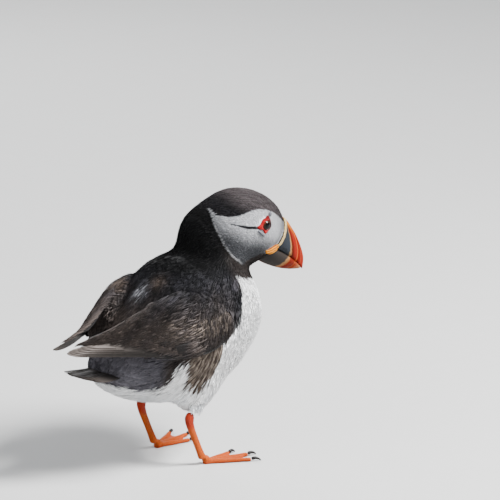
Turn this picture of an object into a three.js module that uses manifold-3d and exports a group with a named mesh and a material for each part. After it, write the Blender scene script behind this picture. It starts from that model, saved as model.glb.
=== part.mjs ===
// Atlantic puffin, life size, standing at rest with its head lowered: a still museum model.
// Millimetres. +X is the way the body faces, +Y is the bird's left, +Z is up, and the floor is z = 0.
// The bird is divided where a person names its parts, and neighbouring parts keep a thin gap.
import * as THREE from "three";
import { mergeVertices } from "three/addons/utils/BufferGeometryUtils.js";
import Module from "manifold-3d";

const wasm = await Module();
wasm.setup();

// ---------------------------------------------------------------- driving dimensions

const GAP = 0.3; // left between parts that touch
const DEGREE = Math.PI / 180;
const SIDES = { right: -1, left: 1 }; // the sign of y on each side of the body

const BODY_PITCH = 30; // degrees that the back rises from rump to neck
const TRUNK_CENTRE = [0, 0, 100];
const NECK_CENTRE = [33, -1, 150];
const HEAD_CENTRE = [60, -3, 169];
const HEAD_PITCH = 29; // degrees that the bill points below level
const HEAD_YAW = -12; // degrees that the head turns, to the right where negative
const BLEND = 16; // how widely one mass of flesh runs into the next

const TARSUS_LENGTH = 33;
const TARSUS_LEAN = 13; // how far the ankle stands behind the foot
const STANCE = 27; // from the middle of the body to each foot
const FOOT_TURN = 10; // degrees that each foot points outwards
const WEB_THICKNESS = 1.3;

const EYE = { x: 6, z: 5.9, radius: 5, sunk: 3 }; // in the head's frame
const LID = { reach: 5, corner: 1.3, apex: 83, thick: 0.9 }; // apex: degrees up from ahead
const LID_TURN = 12; // degrees that the eye looks forward of straight sideways
const RIM_THICKNESS = 1.1;
const RIM_WIDTH = 3.2;

// ---------------------------------------------------------------- colours

const paint = (color, roughness) =>
  new THREE.MeshStandardMaterial({ color, roughness, metalness: 0 });

const black = paint(0x2a2624, 0.85);
const brown = paint(0x4b423c, 0.85);
const white = paint(0xf4f4f2, 0.85);
const grey = paint(0xb9bbbd, 0.85);
const slate = paint(0x55585c, 0.5);
const vermilion = paint(0xe2420f, 0.45);
const cream = paint(0xe9dfb0, 0.5);
const amber = paint(0xe59a1c, 0.6);
const orange = paint(0xf07a14, 0.5);
const horn = paint(0x1d1b1a, 0.4);
const red = paint(0xb81e1e, 0.5);
const iris = paint(0x1a1210, 0.1);

// ---------------------------------------------------------------- making and joining solids

const vector = (x, y, z) => new THREE.Vector3(x, y, z);
const mix = THREE.MathUtils.lerp;

// A closed geometry as a solid whose faces point out, whichever way round they were wound.
function solidOf(geometry) {
  const bare = new THREE.BufferGeometry();
  bare.setAttribute("position", geometry.getAttribute("position").clone());
  bare.setIndex(geometry.index ? geometry.index.clone() : null);
  const merged = mergeVertices(bare, 1e-3);
  const at = merged.getAttribute("position");
  const faces = [];
  const corners = [vector(), vector(), vector()];
  let volume = 0;
  for (let i = 0; i < merged.index.count; i += 3) {
    const [a, b, c] = merged.index.array.subarray(i, i + 3);
    if (a === b || b === c || c === a) continue;
    faces.push([a, b, c]);
    [a, b, c].forEach((index, k) => corners[k].fromBufferAttribute(at, index));
    volume += corners[0].dot(corners[1].cross(corners[2]));
  }
  if (volume < 0) faces.forEach((face) => face.reverse());
  const triVerts = Uint32Array.from(faces.flat());
  return new wasm.Manifold(new wasm.Mesh({ numProp: 3, vertProperties: at.array, triVerts }));
}

// A named mesh of a solid: the largest of the pieces that the cuts left.
function part(name, solid, material) {
  const pieces = solid.decompose().sort((a, b) => b.volume() - a.volume());
  const mesh = pieces[0].getMesh();
  const geometry = new THREE.BufferGeometry();
  geometry.setAttribute("position", new THREE.BufferAttribute(mesh.vertProperties, 3));
  geometry.setIndex(new THREE.BufferAttribute(mesh.triVerts, 1));
  geometry.computeVertexNormals();
  const made = new THREE.Mesh(geometry, material);
  made.name = name;
  return made;
}

// A closed tube: a cylinder whose points place() moves. along runs from 0 to 1, around in
// radians, and out is 1 on the wall and 0 at the middle of each end.
function tube(steps, sides, place) {
  const geometry = new THREE.CylinderGeometry(1, 1, 1, sides, steps);
  const at = geometry.getAttribute("position");
  const point = vector();
  for (let i = 0; i < at.count; i++) {
    point.fromBufferAttribute(at, i);
    const out = Math.hypot(point.x, point.z);
    const moved = place(point.y + 0.5, Math.atan2(point.z, point.x), out);
    at.setXYZ(i, moved.x, moved.y, moved.z);
  }
  return solidOf(geometry);
}

// A smooth function through [position, value] pairs.
function profile(pairs) {
  const curve = new THREE.SplineCurve(pairs.map(([x, y]) => new THREE.Vector2(x, y)));
  const fine = curve.getPoints(pairs.length * 12);
  return (x) => {
    const next = fine.findIndex((p) => p.x >= x);
    if (next < 0) return fine.at(-1).y;
    if (next === 0) return fine[0].y;
    const [a, b] = [fine[next - 1], fine[next]];
    return mix(a.y, b.y, (x - a.x) / (b.x - a.x));
  };
}

// A tube along a spine, with a section of half width `wide` across the body and half height
// `high` across the spine. power over 2 makes it boxier, and lean tips its top, in degrees.
function limb(spinePoints, wide, high, shape = {}) {
  const { steps = 8, sides = 8, power = 2, lean = () => 0, grow = 0 } = shape;
  const spine = new THREE.CatmullRomCurve3(spinePoints.map((p) => vector(...p)));
  return tube(steps, sides, (along, around, out) => {
    const tangent = spine.getTangent(along);
    const across = vector(0, 1, 0).addScaledVector(tangent, -tangent.y).normalize();
    across.applyAxisAngle(tangent, lean(along) * DEGREE);
    const up = tangent.clone().cross(across).normalize();
    const [c, s] = [Math.cos(around), Math.sin(around)];
    const edge = out * (Math.abs(c) ** power + Math.abs(s) ** power) ** (-1 / power);
    const end = { 0: -grow, 1: grow }[along] ?? 0;
    return spine
      .getPoint(along)
      .addScaledVector(across, edge * c * (wide(along) + grow))
      .addScaledVector(up, edge * s * (high(along) + grow))
      .addScaledVector(tangent, end);
  });
}

// Everything on the side of a plane that its normal points to.
function halfSpace(point, normal) {
  const size = 400;
  const box = new THREE.BoxGeometry(size, size, size).translate(0, 0, size / 2);
  const turn = new THREE.Quaternion().setFromUnitVectors(vector(0, 0, 1), normal);
  return solidOf(box.applyQuaternion(turn).translate(point.x, point.y, point.z));
}
const lift = (point, axis, gap) => point.clone().addScaledVector(axis, gap);

// ---------------------------------------------------------------- the flesh, as masses that run together

const headFrame = new THREE.Matrix4().compose(
  vector(...HEAD_CENTRE),
  new THREE.Quaternion().setFromEuler(
    new THREE.Euler(0, HEAD_PITCH * DEGREE, HEAD_YAW * DEGREE, "ZYX"),
  ),
  vector(1, 1, 1),
);

const pitched = (degrees) =>
  new THREE.Quaternion().setFromEuler(new THREE.Euler(0, -degrees * DEGREE, 0));

// An egg of flesh: its centre, half sizes along, across and up, and its pitch in degrees.
function mass(centre, size, pitch = 0, frame = null) {
  const matrix = new THREE.Matrix4().compose(vector(...centre), pitched(pitch), vector(1, 1, 1));
  if (frame) matrix.premultiply(frame);
  return { size: vector(...size), inverse: matrix.invert() };
}

const bothSides = ([x, y, z], ...rest) =>
  Object.values(SIDES).map((side) => mass([x, side * y, z], ...rest));

const flesh = [
  mass(TRUNK_CENTRE, [66, 48, 45], BODY_PITCH),
  mass([3, 0, 121.6], [37, 39, 30], BODY_PITCH), // mantle
  mass([30.5, 0, 108], [34.4, 38, 40], 50), // breast
  mass([20.4, 0, 81.7], [28.5, 33, 25.5], 30), // belly
  mass([-42, 0, 85], [36, 30, 19], 12), // rump
  mass([-38, 0, 72], [34, 24, 15], -8), // vent
  ...bothSides([1, 21, 61.5], [22, 16, 13.5], 60), // roots of the thighs
  mass(NECK_CENTRE, [20, 22, 30]),
  mass([33.5, 0, 166], [22, 23, 20]), // nape
  mass([-3, 0, 3.4], [27, 20.5, 21.4], 0, headFrame), // crown
  mass([14, 0, 3], [21, 15.5, 18.5], 0, headFrame), // face, running to the bill
  ...bothSides([1, 6, -11], [20, 13, 15], 12, headFrame), // cheeks
];

function massDistance(point, { size, inverse }) {
  const p = point.clone().applyMatrix4(inverse).divide(size);
  const near = p.length();
  return (near * (near - 1)) / p.divide(size).length();
}

// Distance from a point to the flesh, below 0 inside, with each mass run into the last.
function fleshDistance(point) {
  return flesh.reduce((least, one) => {
    const next = massDistance(point, one);
    const share = Math.max(BLEND - Math.abs(least - next), 0) / BLEND;
    return Math.min(least, next) - (share * share * BLEND) / 4;
  }, Infinity);
}

// How far a ray from a point inside the flesh runs before it comes out, grown by a gap.
function reachOut(centre, ray, grow = 0) {
  const outside = (reach) => fleshDistance(lift(centre, ray, reach)) > grow;
  const stride = 4;
  let far = stride;
  while (!outside(far)) far += stride;
  let near = far - stride;
  while (far - near > 0.001) {
    const middle = (near + far) / 2;
    if (outside(middle)) far = middle;
    else near = middle;
  }
  return near;
}

// The flesh as seen from a point inside it: a ball pushed out to its surface.
function fleshSolid(centre, detail, { stretch = 1, grow = 0 } = {}) {
  const geometry = new THREE.IcosahedronGeometry(1, detail);
  const at = geometry.getAttribute("position");
  const middle = vector(...centre);
  const turn = pitched(BODY_PITCH);
  const ray = vector();
  for (let i = 0; i < at.count; i++) {
    ray.fromBufferAttribute(at, i);
    ray.x *= stretch;
    ray.applyQuaternion(turn).normalize();
    const end = lift(middle, ray, reachOut(middle, ray, grow));
    at.setXYZ(i, end.x, end.y, end.z);
  }
  return solidOf(geometry);
}

// ---------------------------------------------------------------- bill, in the head's frame

// The outline in the middle plane. Each edge runs from inside the face to the tip.
const billTip = [66.3, -11.7];
const edgeThrough = (points) =>
  new THREE.SplineCurve(points.map(([x, z]) => new THREE.Vector2(x, z)));
const culmen = edgeThrough([
  ...[[16, 12], [25, 16], [33, 16.8], [41, 13.4], [49, 8.8], [56.6, 3], [63, -3.6]],
  billTip,
]);
const gapeLine = edgeThrough([[16, -7.4], [25, -7.2], [34, -7], [44, -7.2], [55, -8.6], billTip]);
const lowerLip = edgeThrough(
  gapeLine.points.map(({ x, y }) => [x - (x === billTip[0] ? 1.6 : 0), y - GAP]),
);
const keel = edgeThrough([[16, -18], [25, -19.6], [34, -20], [45, -18.8], [55, -16.2], [64, -12.2]]);
const billHalfWidth = profile([[0, 10.4], [0.35, 9.4], [0.55, 7.4], [0.75, 5], [0.9, 3], [1, 1.1]]);
const CULMEN_RIDGE = 0.3; // the share of the bill's width left at its upper edge
const KEEL_RIDGE = 0.42; // and at its lower edge

// One mandible, from its wide edge at the mouth to its narrow edge.
function mandible(wideEdge, narrowEdge, ridge, grow = 0) {
  return tube(11, 10, (along, around, out) => {
    const [a, b] = [wideEdge.getPoint(along), narrowEdge.getPoint(along)];
    const up = (1 - Math.cos(around)) / 2; // 0 on the wide edge, 1 on the narrow one
    const across = Math.sin(around);
    const flat = Math.sign(across) * Math.abs(across) ** 0.55;
    const wide = billHalfWidth(along) * mix(1, ridge, up ** 1.3) + grow;
    const place = a.clone().lerp(b, mix(0.5, up, out));
    place.addScaledVector(b.clone().sub(a).normalize(), grow * (2 * up - 1) * out);
    return vector(place.x + (along === 1 ? grow : 0), out * flat * wide, place.y);
  });
}

const billUpper = mandible(gapeLine, culmen, CULMEN_RIDGE);
const billLower = mandible(lowerLip, keel, KEEL_RIDGE);
const billRoot = mandible(gapeLine, culmen, CULMEN_RIDGE, GAP).add(
  mandible(gapeLine, keel, KEEL_RIDGE, GAP),
);

// The horny ridge round the base of the upper mandible, where it meets the feathers of the face.
function rimBand(grow) {
  const line = [[28.5, 22], [33, 15.5], [35, 6], [34.2, -2.5], [30.5, -9]];
  const pastBothSides = 30;
  const slab = limb(
    line.map(([x, z]) => [x, 0, z]),
    () => pastBothSides,
    () => RIM_WIDTH / 2,
    { steps: 7, sides: 4, power: 20, grow },
  );
  return mandible(gapeLine, culmen, CULMEN_RIDGE, RIM_THICKNESS + grow).intersect(slab);
}

// ---------------------------------------------------------------- eyes and mouth corners, as the bill

// The point on the cheek at a height and distance along the head, sunk below its surface.
function cheekPoint(side, x, z, sunk) {
  const middle = vector(x, 0, z).applyMatrix4(headFrame);
  const sideways = vector(0, side, 0).transformDirection(headFrame);
  return vector(x, side * (reachOut(middle, sideways) - sunk), z);
}

// A geometry made round the origin, turned to face the way the eye looks and set on the cheek.
function setOnCheek(geometry, side, x, z, sunk) {
  const place = cheekPoint(side, x, z, sunk);
  return solidOf(geometry.rotateZ(-side * LID_TURN * DEGREE).translate(...place.toArray()));
}

const eyeball = (side, grow = 0) =>
  setOnCheek(new THREE.SphereGeometry(EYE.radius + grow, 11, 7), side, EYE.x, EYE.z, EYE.sunk);

// The swollen red ring of the eyelids: three-cornered, with one corner near the top.
function eyeRing(side, grow = 0) {
  const corners = Array.from({ length: 12 }, (_, i) => {
    const turn = (i / 12) * 2 * Math.PI;
    const out = LID.reach + LID.corner * Math.cos(3 * (turn - LID.apex * DEGREE));
    return vector(out * Math.cos(turn), 0, out * Math.sin(turn));
  });
  const loop = new THREE.CatmullRomCurve3(corners, true);
  const ring = new THREE.TubeGeometry(loop, 12, LID.thick + grow, 5, true);
  return setOnCheek(ring, side, EYE.x, EYE.z, 0.1);
}

// A thin curved plate of blue-grey horn beside the eye.
function facePlate(side, [x, z], [long, high], tilt, grow) {
  const plate = new THREE.SphereGeometry(1, 8, 5)
    .scale(long + grow, 1.5 + grow, high + grow)
    .rotateY(-tilt * DEGREE);
  return setOnCheek(plate, side, EYE.x + x, EYE.z + z, 0.3);
}
const browPlate = (side, grow = 0) => facePlate(side, [2, 8.4], [1.6, 2.3], 8, grow);
const cheekPlate = (side, grow = 0) => facePlate(side, [-1.2, -7], [4.8, 1.2], -11, grow);

// The wrinkled rosette of soft skin at each corner of the mouth.
const rosette = (side, grow = 0) =>
  limb(
    [[19, -12.2], [24.5, -9.4], [29.5, -6], [32, -3.8]].map(([x, z]) =>
      cheekPoint(side, Math.min(x, 30), z, 0.6).setX(x).toArray(),
    ),
    profile([[0, 0.5], [0.2, 2], [0.6, 2.4], [1, 0.6]]),
    profile([[0, 0.8], [0.3, 3], [0.7, 3.4], [1, 1]]),
    { steps: 6, grow },
  );

// ---------------------------------------------------------------- tail and wings

// The tail fan, thick at the root where the coverts lie over it and thin at the feather tips.
const tailSolid = (grow = 0) =>
  limb(
    [[-44, 0, 82], [-62, 0, 81.5], [-82, 0, 80.5], [-102, 0, 81]],
    profile([[0, 23], [0.3, 22], [0.6, 21], [0.85, 20.5], [1, 14]]),
    profile([[0, 14], [0.3, 10.5], [0.55, 5.4], [0.8, 2], [1, 0.9]]),
    { sides: 14, power: 2.4, grow },
  );

// A folded wing: a shell on the side of the trunk that narrows to the stack of primaries.
const WING_JOIN = -56; // x where the arm and its coverts end and the primaries stand free
const wingStations = [
  // x, out from the middle, up, half thickness, half height, lean in over the back in degrees
  [29, 33, 122, 3, 6, 18],
  [19, 36.5, 121, 8, 15, 19],
  [-4, 39, 116, 11.5, 23, 24],
  [-28, 36, 113, 11.5, 25, 30],
  [-52, 27, 108.5, 8, 19.5, 38],
  [-76, 17, 104.5, 3.6, 12, 42],
  [-98, 9.5, 102.5, 1.6, 6.4, 42],
  [-113, 7, 102, 0.9, 3, 42],
];
const fromStations = (column) =>
  profile(wingStations.map((station, i) => [i / (wingStations.length - 1), station[column]]));
const [wingWide, wingHigh, wingLean] = [3, 4, 5].map(fromStations);
const wingWhole = (side) =>
  limb(
    wingStations.map(([x, y, z]) => [x, side * y, z]),
    wingWide,
    wingHigh,
    { steps: 12, sides: 11, power: 2.3, lean: (along) => -side * wingLean(along) },
  );

// ---------------------------------------------------------------- legs

const anklePoint = (side, [x, z] = [0, 0]) => [
  x - TARSUS_LEAN,
  side * STANCE,
  z + TARSUS_LENGTH + 3,
];

// The feathered leg above the ankle, and the region of the flank that moves with it.
const shankSolid = (side, grow = 0) =>
  limb(
    [[2, side * 22, 68], [-3, side * 26, 56], anklePoint(side, [3, 5])],
    profile([[0, 11], [0.4, 12.5], [0.75, 8.6], [1, 4.4]]),
    profile([[0, 13], [0.4, 13.5], [0.75, 9.6], [1, 5.2]]),
    { steps: 5, sides: 10, grow },
  );
const thighRegion = (side, grow = 0) =>
  solidOf(
    new THREE.SphereGeometry(1, 12, 7)
      .scale(20 + grow, 26 + grow, 24 + grow)
      .rotateY(-25 * DEGREE)
      .translate(-1, side * 36, 65),
  );
const tarsusSolid = (side, grow = 0) =>
  limb(
    [
      anklePoint(side, [1.6, 6]),
      anklePoint(side),
      [-6, side * STANCE, 18],
      [0.5, side * STANCE, 3.4],
    ],
    profile([[0, 2.2], [0.25, 3.5], [0.45, 2.5], [0.8, 2.3], [1, 3.1]]),
    profile([[0, 2.6], [0.25, 4.4], [0.45, 3.2], [0.8, 3], [1, 3.6]]),
    { grow },
  );

// The toes of the right foot, in the foot's own frame: the way each turns from straight ahead,
// its length to the claw, and its half thickness. The left foot is the mirror of it.
const TOES = [
  { name: "inner", turn: 20, length: 29, thick: 2.3 },
  { name: "middle", turn: -1, length: 37, thick: 2.5 },
  { name: "outer", turn: -22, length: 35, thick: 2.3 },
];
const toeEnd = ({ turn, length }, side) =>
  vector(length, 0, 0).applyAxisAngle(vector(0, 0, 1), -side * turn * DEGREE);

const toeSolid = (toe, side) => {
  const end = toeEnd(toe, side);
  const knuckles = (x) => toe.thick * (1 + 0.12 * Math.cos(x * 6 * Math.PI)) * (1 - 0.28 * x);
  const spine = [0, 0.5, 1].map((share) => [end.x * share, end.y * share, 1.5]);
  return limb(spine, knuckles, knuckles, { steps: 5, sides: 6 });
};

// The web: a flat sheet whose front edge hangs in a shallow curve from toe to toe.
function webSolid(side) {
  const [inner, middle, outer] = TOES.map((toe) => toeEnd(toe, side).multiplyScalar(0.93));
  const slack = (a, b) => a.clone().add(b).multiplyScalar(0.43).toArray().slice(0, 2);
  const outline = new THREE.Shape()
    .moveTo(-2, 0)
    .lineTo(inner.x, inner.y)
    .quadraticCurveTo(...slack(inner, middle), middle.x, middle.y)
    .quadraticCurveTo(...slack(middle, outer), outer.x, outer.y);
  const settings = { depth: WEB_THICKNESS, bevelEnabled: false, curveSegments: 5 };
  return solidOf(new THREE.ExtrudeGeometry(outline, settings));
}

const underFloor = halfSpace(vector(0, 0, 0), vector(0, 0, -1));
const footSolid = (side) =>
  TOES.reduce((foot, toe) => foot.add(toeSolid(toe, side)), webSolid(side)).subtract(underFloor);

function clawSolid(toe, side) {
  const end = toeEnd(toe, side);
  const ahead = end.clone().normalize();
  const hook = [[GAP + 0.1, 2], [2.6, 2.7], [5.2, 2.1], [7.4, 0.5]];
  return limb(
    hook.map(([reach, height]) => lift(end, ahead, reach).setZ(height).toArray()),
    profile([[0, 1.3], [0.5, 1.1], [1, 0.3]]),
    profile([[0, 1.5], [0.5, 1.2], [1, 0.3]]),
    { steps: 4, sides: 5 },
  ).subtract(underFloor);
}

// ---------------------------------------------------------------- the bird, put together

// The cuts that part the neck from the trunk, and the head from the neck.
const neckFoot = { point: vector(36, 0, 135), axis: vector(0.44, -0.02, 0.9).normalize() };
const collar = { point: vector(47, -1, 163), axis: vector(0.93, -0.1, 0.36).normalize() };
const throat = { point: vector(60, 0, 139), axis: vector(0.2, 0, 1).normalize() };
const beyond = ({ point, axis }, gap) => halfSpace(lift(point, axis, gap), axis);
const headRegion = (gap) => beyond(collar, gap).intersect(beyond(throat, gap));

const puffin = new THREE.Group();

const trunkWhole = fleshSolid(TRUNK_CENTRE, 6, { stretch: 1.5 });
const trunkGrown = fleshSolid(TRUNK_CENTRE, 6, { stretch: 1.5, grow: GAP });
let trunk = trunkWhole.subtract(beyond(neckFoot, 0)).subtract(tailSolid(GAP));
for (const side of Object.values(SIDES))
  trunk = trunk.subtract(shankSolid(side, GAP)).subtract(thighRegion(side, GAP));
const neck = fleshSolid(NECK_CENTRE, 5).intersect(beyond(neckFoot, GAP)).subtract(headRegion(0));

puffin.add(part("trunk", trunk, black));
puffin.add(part("neck", neck, black));
puffin.add(part("tail", tailSolid(), black));

for (const [word, side] of Object.entries(SIDES)) {
  const wing = wingWhole(side).subtract(trunkGrown).subtract(tailSolid(GAP));
  const join = { point: vector(WING_JOIN, 0, 0), axis: vector(-1, 0, 0) };
  const thigh = trunkWhole.intersect(thighRegion(side)).add(shankSolid(side));
  puffin.add(part(`wing_${word}`, wing.subtract(beyond(join, 0)), brown));
  puffin.add(part(`primaries_${word}`, wing.intersect(beyond(join, GAP)), brown));
  puffin.add(part(`thigh_${word}`, thigh.subtract(tarsusSolid(side, GAP)), white));

  const footTop = { point: vector(0, 0, 4.4), axis: vector(0, 0, -1) };
  puffin.add(part(`tarsus_${word}`, tarsusSolid(side).subtract(beyond(footTop, 0)), orange));
  const foot = new THREE.Group();
  foot.position.set(2, side * STANCE, 0);
  foot.rotation.z = side * FOOT_TURN * DEGREE;
  foot.add(part(`foot_${word}`, footSolid(side), orange));
  for (const toe of TOES)
    foot.add(part(`claw_${toe.name}_${word}`, clawSolid(toe, side), horn));
  puffin.add(foot);
}

const head = new THREE.Group();
head.applyMatrix4(headFrame);
puffin.add(head);

// The head's flesh is cut away round the bill and round what is set in the face.
let skull = fleshSolid(HEAD_CENTRE, 6)
  .intersect(headRegion(GAP))
  .transform(headFrame.clone().invert().toArray())
  .subtract(billRoot)
  .subtract(rimBand(GAP));
for (const side of Object.values(SIDES))
  for (const set of [eyeball, eyeRing, browPlate, cheekPlate, rosette])
    skull = skull.subtract(set(side, GAP));

head.add(part("head", skull, grey));
head.add(part("bill_upper", billUpper, vermilion));
head.add(part("bill_lower", billLower, vermilion));
head.add(part("bill_rim", rimBand(0).subtract(billRoot), cream));

for (const [word, side] of Object.entries(SIDES)) {
  const socket = eyeball(side, GAP).add(eyeRing(side, GAP));
  const mouth = billRoot.add(rimBand(GAP));
  head.add(part(`eye_${word}`, eyeball(side), iris));
  head.add(part(`eye_ring_${word}`, eyeRing(side).subtract(eyeball(side, GAP)), red));
  head.add(part(`brow_plate_${word}`, browPlate(side).subtract(socket), slate));
  head.add(part(`cheek_plate_${word}`, cheekPlate(side).subtract(socket), slate));
  head.add(part(`rosette_${word}`, rosette(side).subtract(mouth), amber));
}

// The origin is on the floor, under the middle of the whole bird.
const whole = new THREE.Box3().setFromObject(puffin, true);
puffin.position.set(-(whole.min.x + whole.max.x) / 2, -(whole.min.y + whole.max.y) / 2, 0);

export default puffin;
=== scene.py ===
import math

import bmesh
import bpy
import numpy as np
from mathutils import Matrix, Vector
from mathutils.bvhtree import BVHTree


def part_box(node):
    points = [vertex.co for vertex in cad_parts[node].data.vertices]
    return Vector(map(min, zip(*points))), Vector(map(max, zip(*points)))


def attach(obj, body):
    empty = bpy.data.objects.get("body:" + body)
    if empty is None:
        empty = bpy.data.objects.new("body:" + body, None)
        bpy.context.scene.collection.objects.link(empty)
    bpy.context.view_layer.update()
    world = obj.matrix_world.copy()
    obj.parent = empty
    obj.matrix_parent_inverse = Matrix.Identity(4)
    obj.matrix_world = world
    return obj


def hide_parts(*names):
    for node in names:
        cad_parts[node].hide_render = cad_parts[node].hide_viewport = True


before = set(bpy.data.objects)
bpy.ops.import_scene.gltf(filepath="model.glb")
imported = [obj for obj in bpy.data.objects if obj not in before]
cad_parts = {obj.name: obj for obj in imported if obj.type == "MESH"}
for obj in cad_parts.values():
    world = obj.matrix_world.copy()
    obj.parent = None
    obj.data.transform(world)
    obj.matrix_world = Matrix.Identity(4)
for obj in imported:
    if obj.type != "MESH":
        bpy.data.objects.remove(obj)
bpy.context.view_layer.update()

# ------------------------------------------------------------------ skin
# One skin over the flesh of head, neck, trunk, rump, thighs and wings, with the same markings as
# the feathers. It lies under their tips by the depth of the coat, and is made of the same
# egg-shaped masses as the solids, run together and closed.

MM = 0.001
WELD = 1e-6  # corners nearer than this are one
BLEND = 16  # how widely one mass of flesh runs into the next
BODY_PITCH, HEAD_YAW, BILL_DROP = 30, -12, 29  # degrees
WING_REAR = 56  # how far the right wing's solid runs behind the point that the solids are drawn from
SHIFT = np.array([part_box("wing_right")[0][0] / MM + WING_REAR, 0, 0])  # where the frame has that point
HEAD_AT = SHIFT + (60, -3, 169)
TRUNK_AT = SHIFT + (0, 0, 100)
NECK_AT = SHIFT + (33, -1, 150)
WORDS = {"right": -1, "left": 1}  # each side of the body, with the sign of its y


def turned(degrees, axis):
    return Matrix.Rotation(math.radians(degrees), 3, axis)


HEAD_TURN = np.array(turned(HEAD_YAW, "Z") @ turned(BILL_DROP, "Y"))


def to_head(points):
    return (np.asarray(points, float) - HEAD_AT) @ HEAD_TURN


def from_head(points):
    return np.asarray(points, float) @ HEAD_TURN.T + HEAD_AT


def unit(vectors):
    return vectors / np.maximum(np.linalg.norm(vectors, axis=-1, keepdims=True), 1e-9)


def smooth(x):
    """An even rise from 0 to 1."""
    x = np.clip(x, 0, 1)
    return x * x * (3 - 2 * x)


def hump(gap, wide):
    """1 where there is no gap, falling away to 0 past the width."""
    return np.exp(-((gap / wide) ** 2))


def mass(centre, size, pitch=0, head=False):
    """An egg of flesh: its centre, the way it is turned, and its half sizes."""
    turn = np.array(turned(-pitch, "Y"))
    if head:
        return from_head(centre), HEAD_TURN @ turn, np.array(size, float)
    return SHIFT + centre, turn, np.array(size, float)


# Trunk, back, chest, belly, rump, under the tail, thighs, neck and upper neck, crown, face and cheeks.
masses = [
    mass((0, 0, 100), (66, 48, 45), BODY_PITCH),
    mass((3, 0, 121.6), (37, 39, 30), BODY_PITCH),
    mass((30.5, 0, 108), (34.4, 38, 40), 50),
    mass((20.4, 0, 81.7), (28.5, 33, 25.5), 30),
    mass((-42, 0, 85), (36, 30, 19), 12),
    mass((-38, 0, 72), (34, 24, 15), -8),
    mass((1, -21, 61.5), (22, 16, 13.5), 60),
    mass((1, 21, 61.5), (22, 16, 13.5), 60),
    mass((33, -1, 150), (20, 22, 30)),
    mass((33.5, 0, 166), (22, 23, 20)),
    mass((-3, 0, 3.4), (27, 20.5, 21.4), 0, True),
    mass((14, 0, 3), (21, 15.5, 18.5), 0, True),
    mass((1, -6, -11), (20, 13, 15), 12, True),
    mass((1, 6, -11), (20, 13, 15), 12, True),
]


def flesh(points):
    """How far each point lies outside the flesh, below 0 inside."""
    least = np.full(len(points), 1e9)
    for centre, turn, size in masses:
        local = (points - centre) @ turn / size
        near = np.linalg.norm(local, axis=1)
        far = near * (near - 1) / np.maximum(np.linalg.norm(local / size, axis=1), 1e-9)
        share = np.maximum(BLEND - np.abs(least - far), 0) / BLEND
        least = np.minimum(least, far) - share**2 * BLEND / 4
    return least


def slope(points):
    """The way out of the flesh at each point."""
    step = 0.3
    rise = [flesh(points + step * axis) - flesh(points - step * axis) for axis in np.eye(3)]
    return np.stack(rise, axis=1) / (2 * step)


def reach(start, rays, grow=0.0):
    """How far each ray runs from inside the flesh before it comes out of it."""
    stride = 4.0
    far = np.full(len(rays), stride)
    going = np.arange(len(rays))
    while len(going):
        inside = flesh(start + rays[going] * far[going, None]) <= grow
        going = going[inside]
        far[going] += stride
    near = far - stride
    for _ in range(14):  # the gap is halved until it is far below a hair
        middle = (near + far) / 2
        out = flesh(start + rays * middle[:, None]) > grow
        far, near = np.where(out, middle, far), np.where(out, near, middle)
    return near


def coat_depth(points):
    """How deep the plumage lies over the skin: thin on the head, thicker down the body."""
    away = np.linalg.norm(points - HEAD_AT, axis=1)
    return np.interp(away, (20, 32, 55, 90), (0.8, 0.95, 1.6, 2.2))


def mesh_arrays(mesh):
    """A mesh's points and normals, in millimetres."""
    points = np.zeros(len(mesh.vertices) * 3, np.float32)
    normals = points.copy()
    mesh.vertices.foreach_get("co", points)
    mesh.vertex_normals.foreach_get("vector", normals)
    return points.reshape(-1, 3).astype(float) / MM, normals.reshape(-1, 3).astype(float)


def set_points(mesh, points):
    mesh.vertices.foreach_set("co", (np.asarray(points) * MM).astype(np.float32).ravel())
    mesh.update()


def linked(name, data):
    """A new object in the scene."""
    made = bpy.data.objects.new(name, data)
    bpy.context.scene.collection.objects.link(made)
    return made


def piece_of(name, shape):
    """A new object from a bmesh, which is used up."""
    mesh = bpy.data.meshes.new(name)
    shape.to_mesh(mesh)
    shape.free()
    return linked(name, mesh)


def applied(piece):
    """Puts a piece's modifiers into its mesh."""
    seen = piece.evaluated_get(bpy.context.evaluated_depsgraph_get())
    mesh = bpy.data.meshes.new_from_object(seen)
    piece.modifiers.clear()
    piece.data = mesh
    mesh.name = piece.name
    return piece


def add_remesh(piece, voxel, rounds):
    remesh = piece.modifiers.new("close", "REMESH")
    remesh.mode, remesh.voxel_size = "VOXEL", voxel * MM
    relax = piece.modifiers.new("relax", "SMOOTH")
    relax.factor, relax.iterations = 0.5, rounds


body = bmesh.new()
for centre in (TRUNK_AT, NECK_AT, HEAD_AT):
    ball = bmesh.ops.create_icosphere(body, subdivisions=6, radius=1)["verts"]
    rays = np.array([vertex.co for vertex in ball])
    if centre is TRUNK_AT:
        rays = unit(rays * (1.5, 1, 1)) @ np.array(turned(BODY_PITCH, "Y"))
    ends = centre + rays * reach(centre, rays, 0.5)[:, None]
    for vertex, end in zip(ball, ends):
        vertex.co = end * MM
for node in ("wing_right", "wing_left", "thigh_right", "thigh_left"):
    body.from_mesh(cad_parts[node].data)
bmesh.ops.remove_doubles(body, verts=body.verts, dist=WELD)
skin = piece_of("skin", body)
add_remesh(skin, 1.1, 10)
applied(skin)

# Loose shells left inside where two solids lay close together are cleared away.
shape = bmesh.new()
shape.from_mesh(skin.data)
unseen, shells = set(shape.verts), []
while unseen:
    front, shell = {unseen.pop()}, []
    while front:
        shell += front
        front = {edge.other_vert(vertex) for vertex in front for edge in vertex.link_edges} & unseen
        unseen -= front
    shells.append(shell)
shells.sort(key=len)
bmesh.ops.delete(shape, geom=[vertex for shell in shells[:-1] for vertex in shell], context="VERTS")
shape.to_mesh(skin.data)
shape.free()

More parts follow.
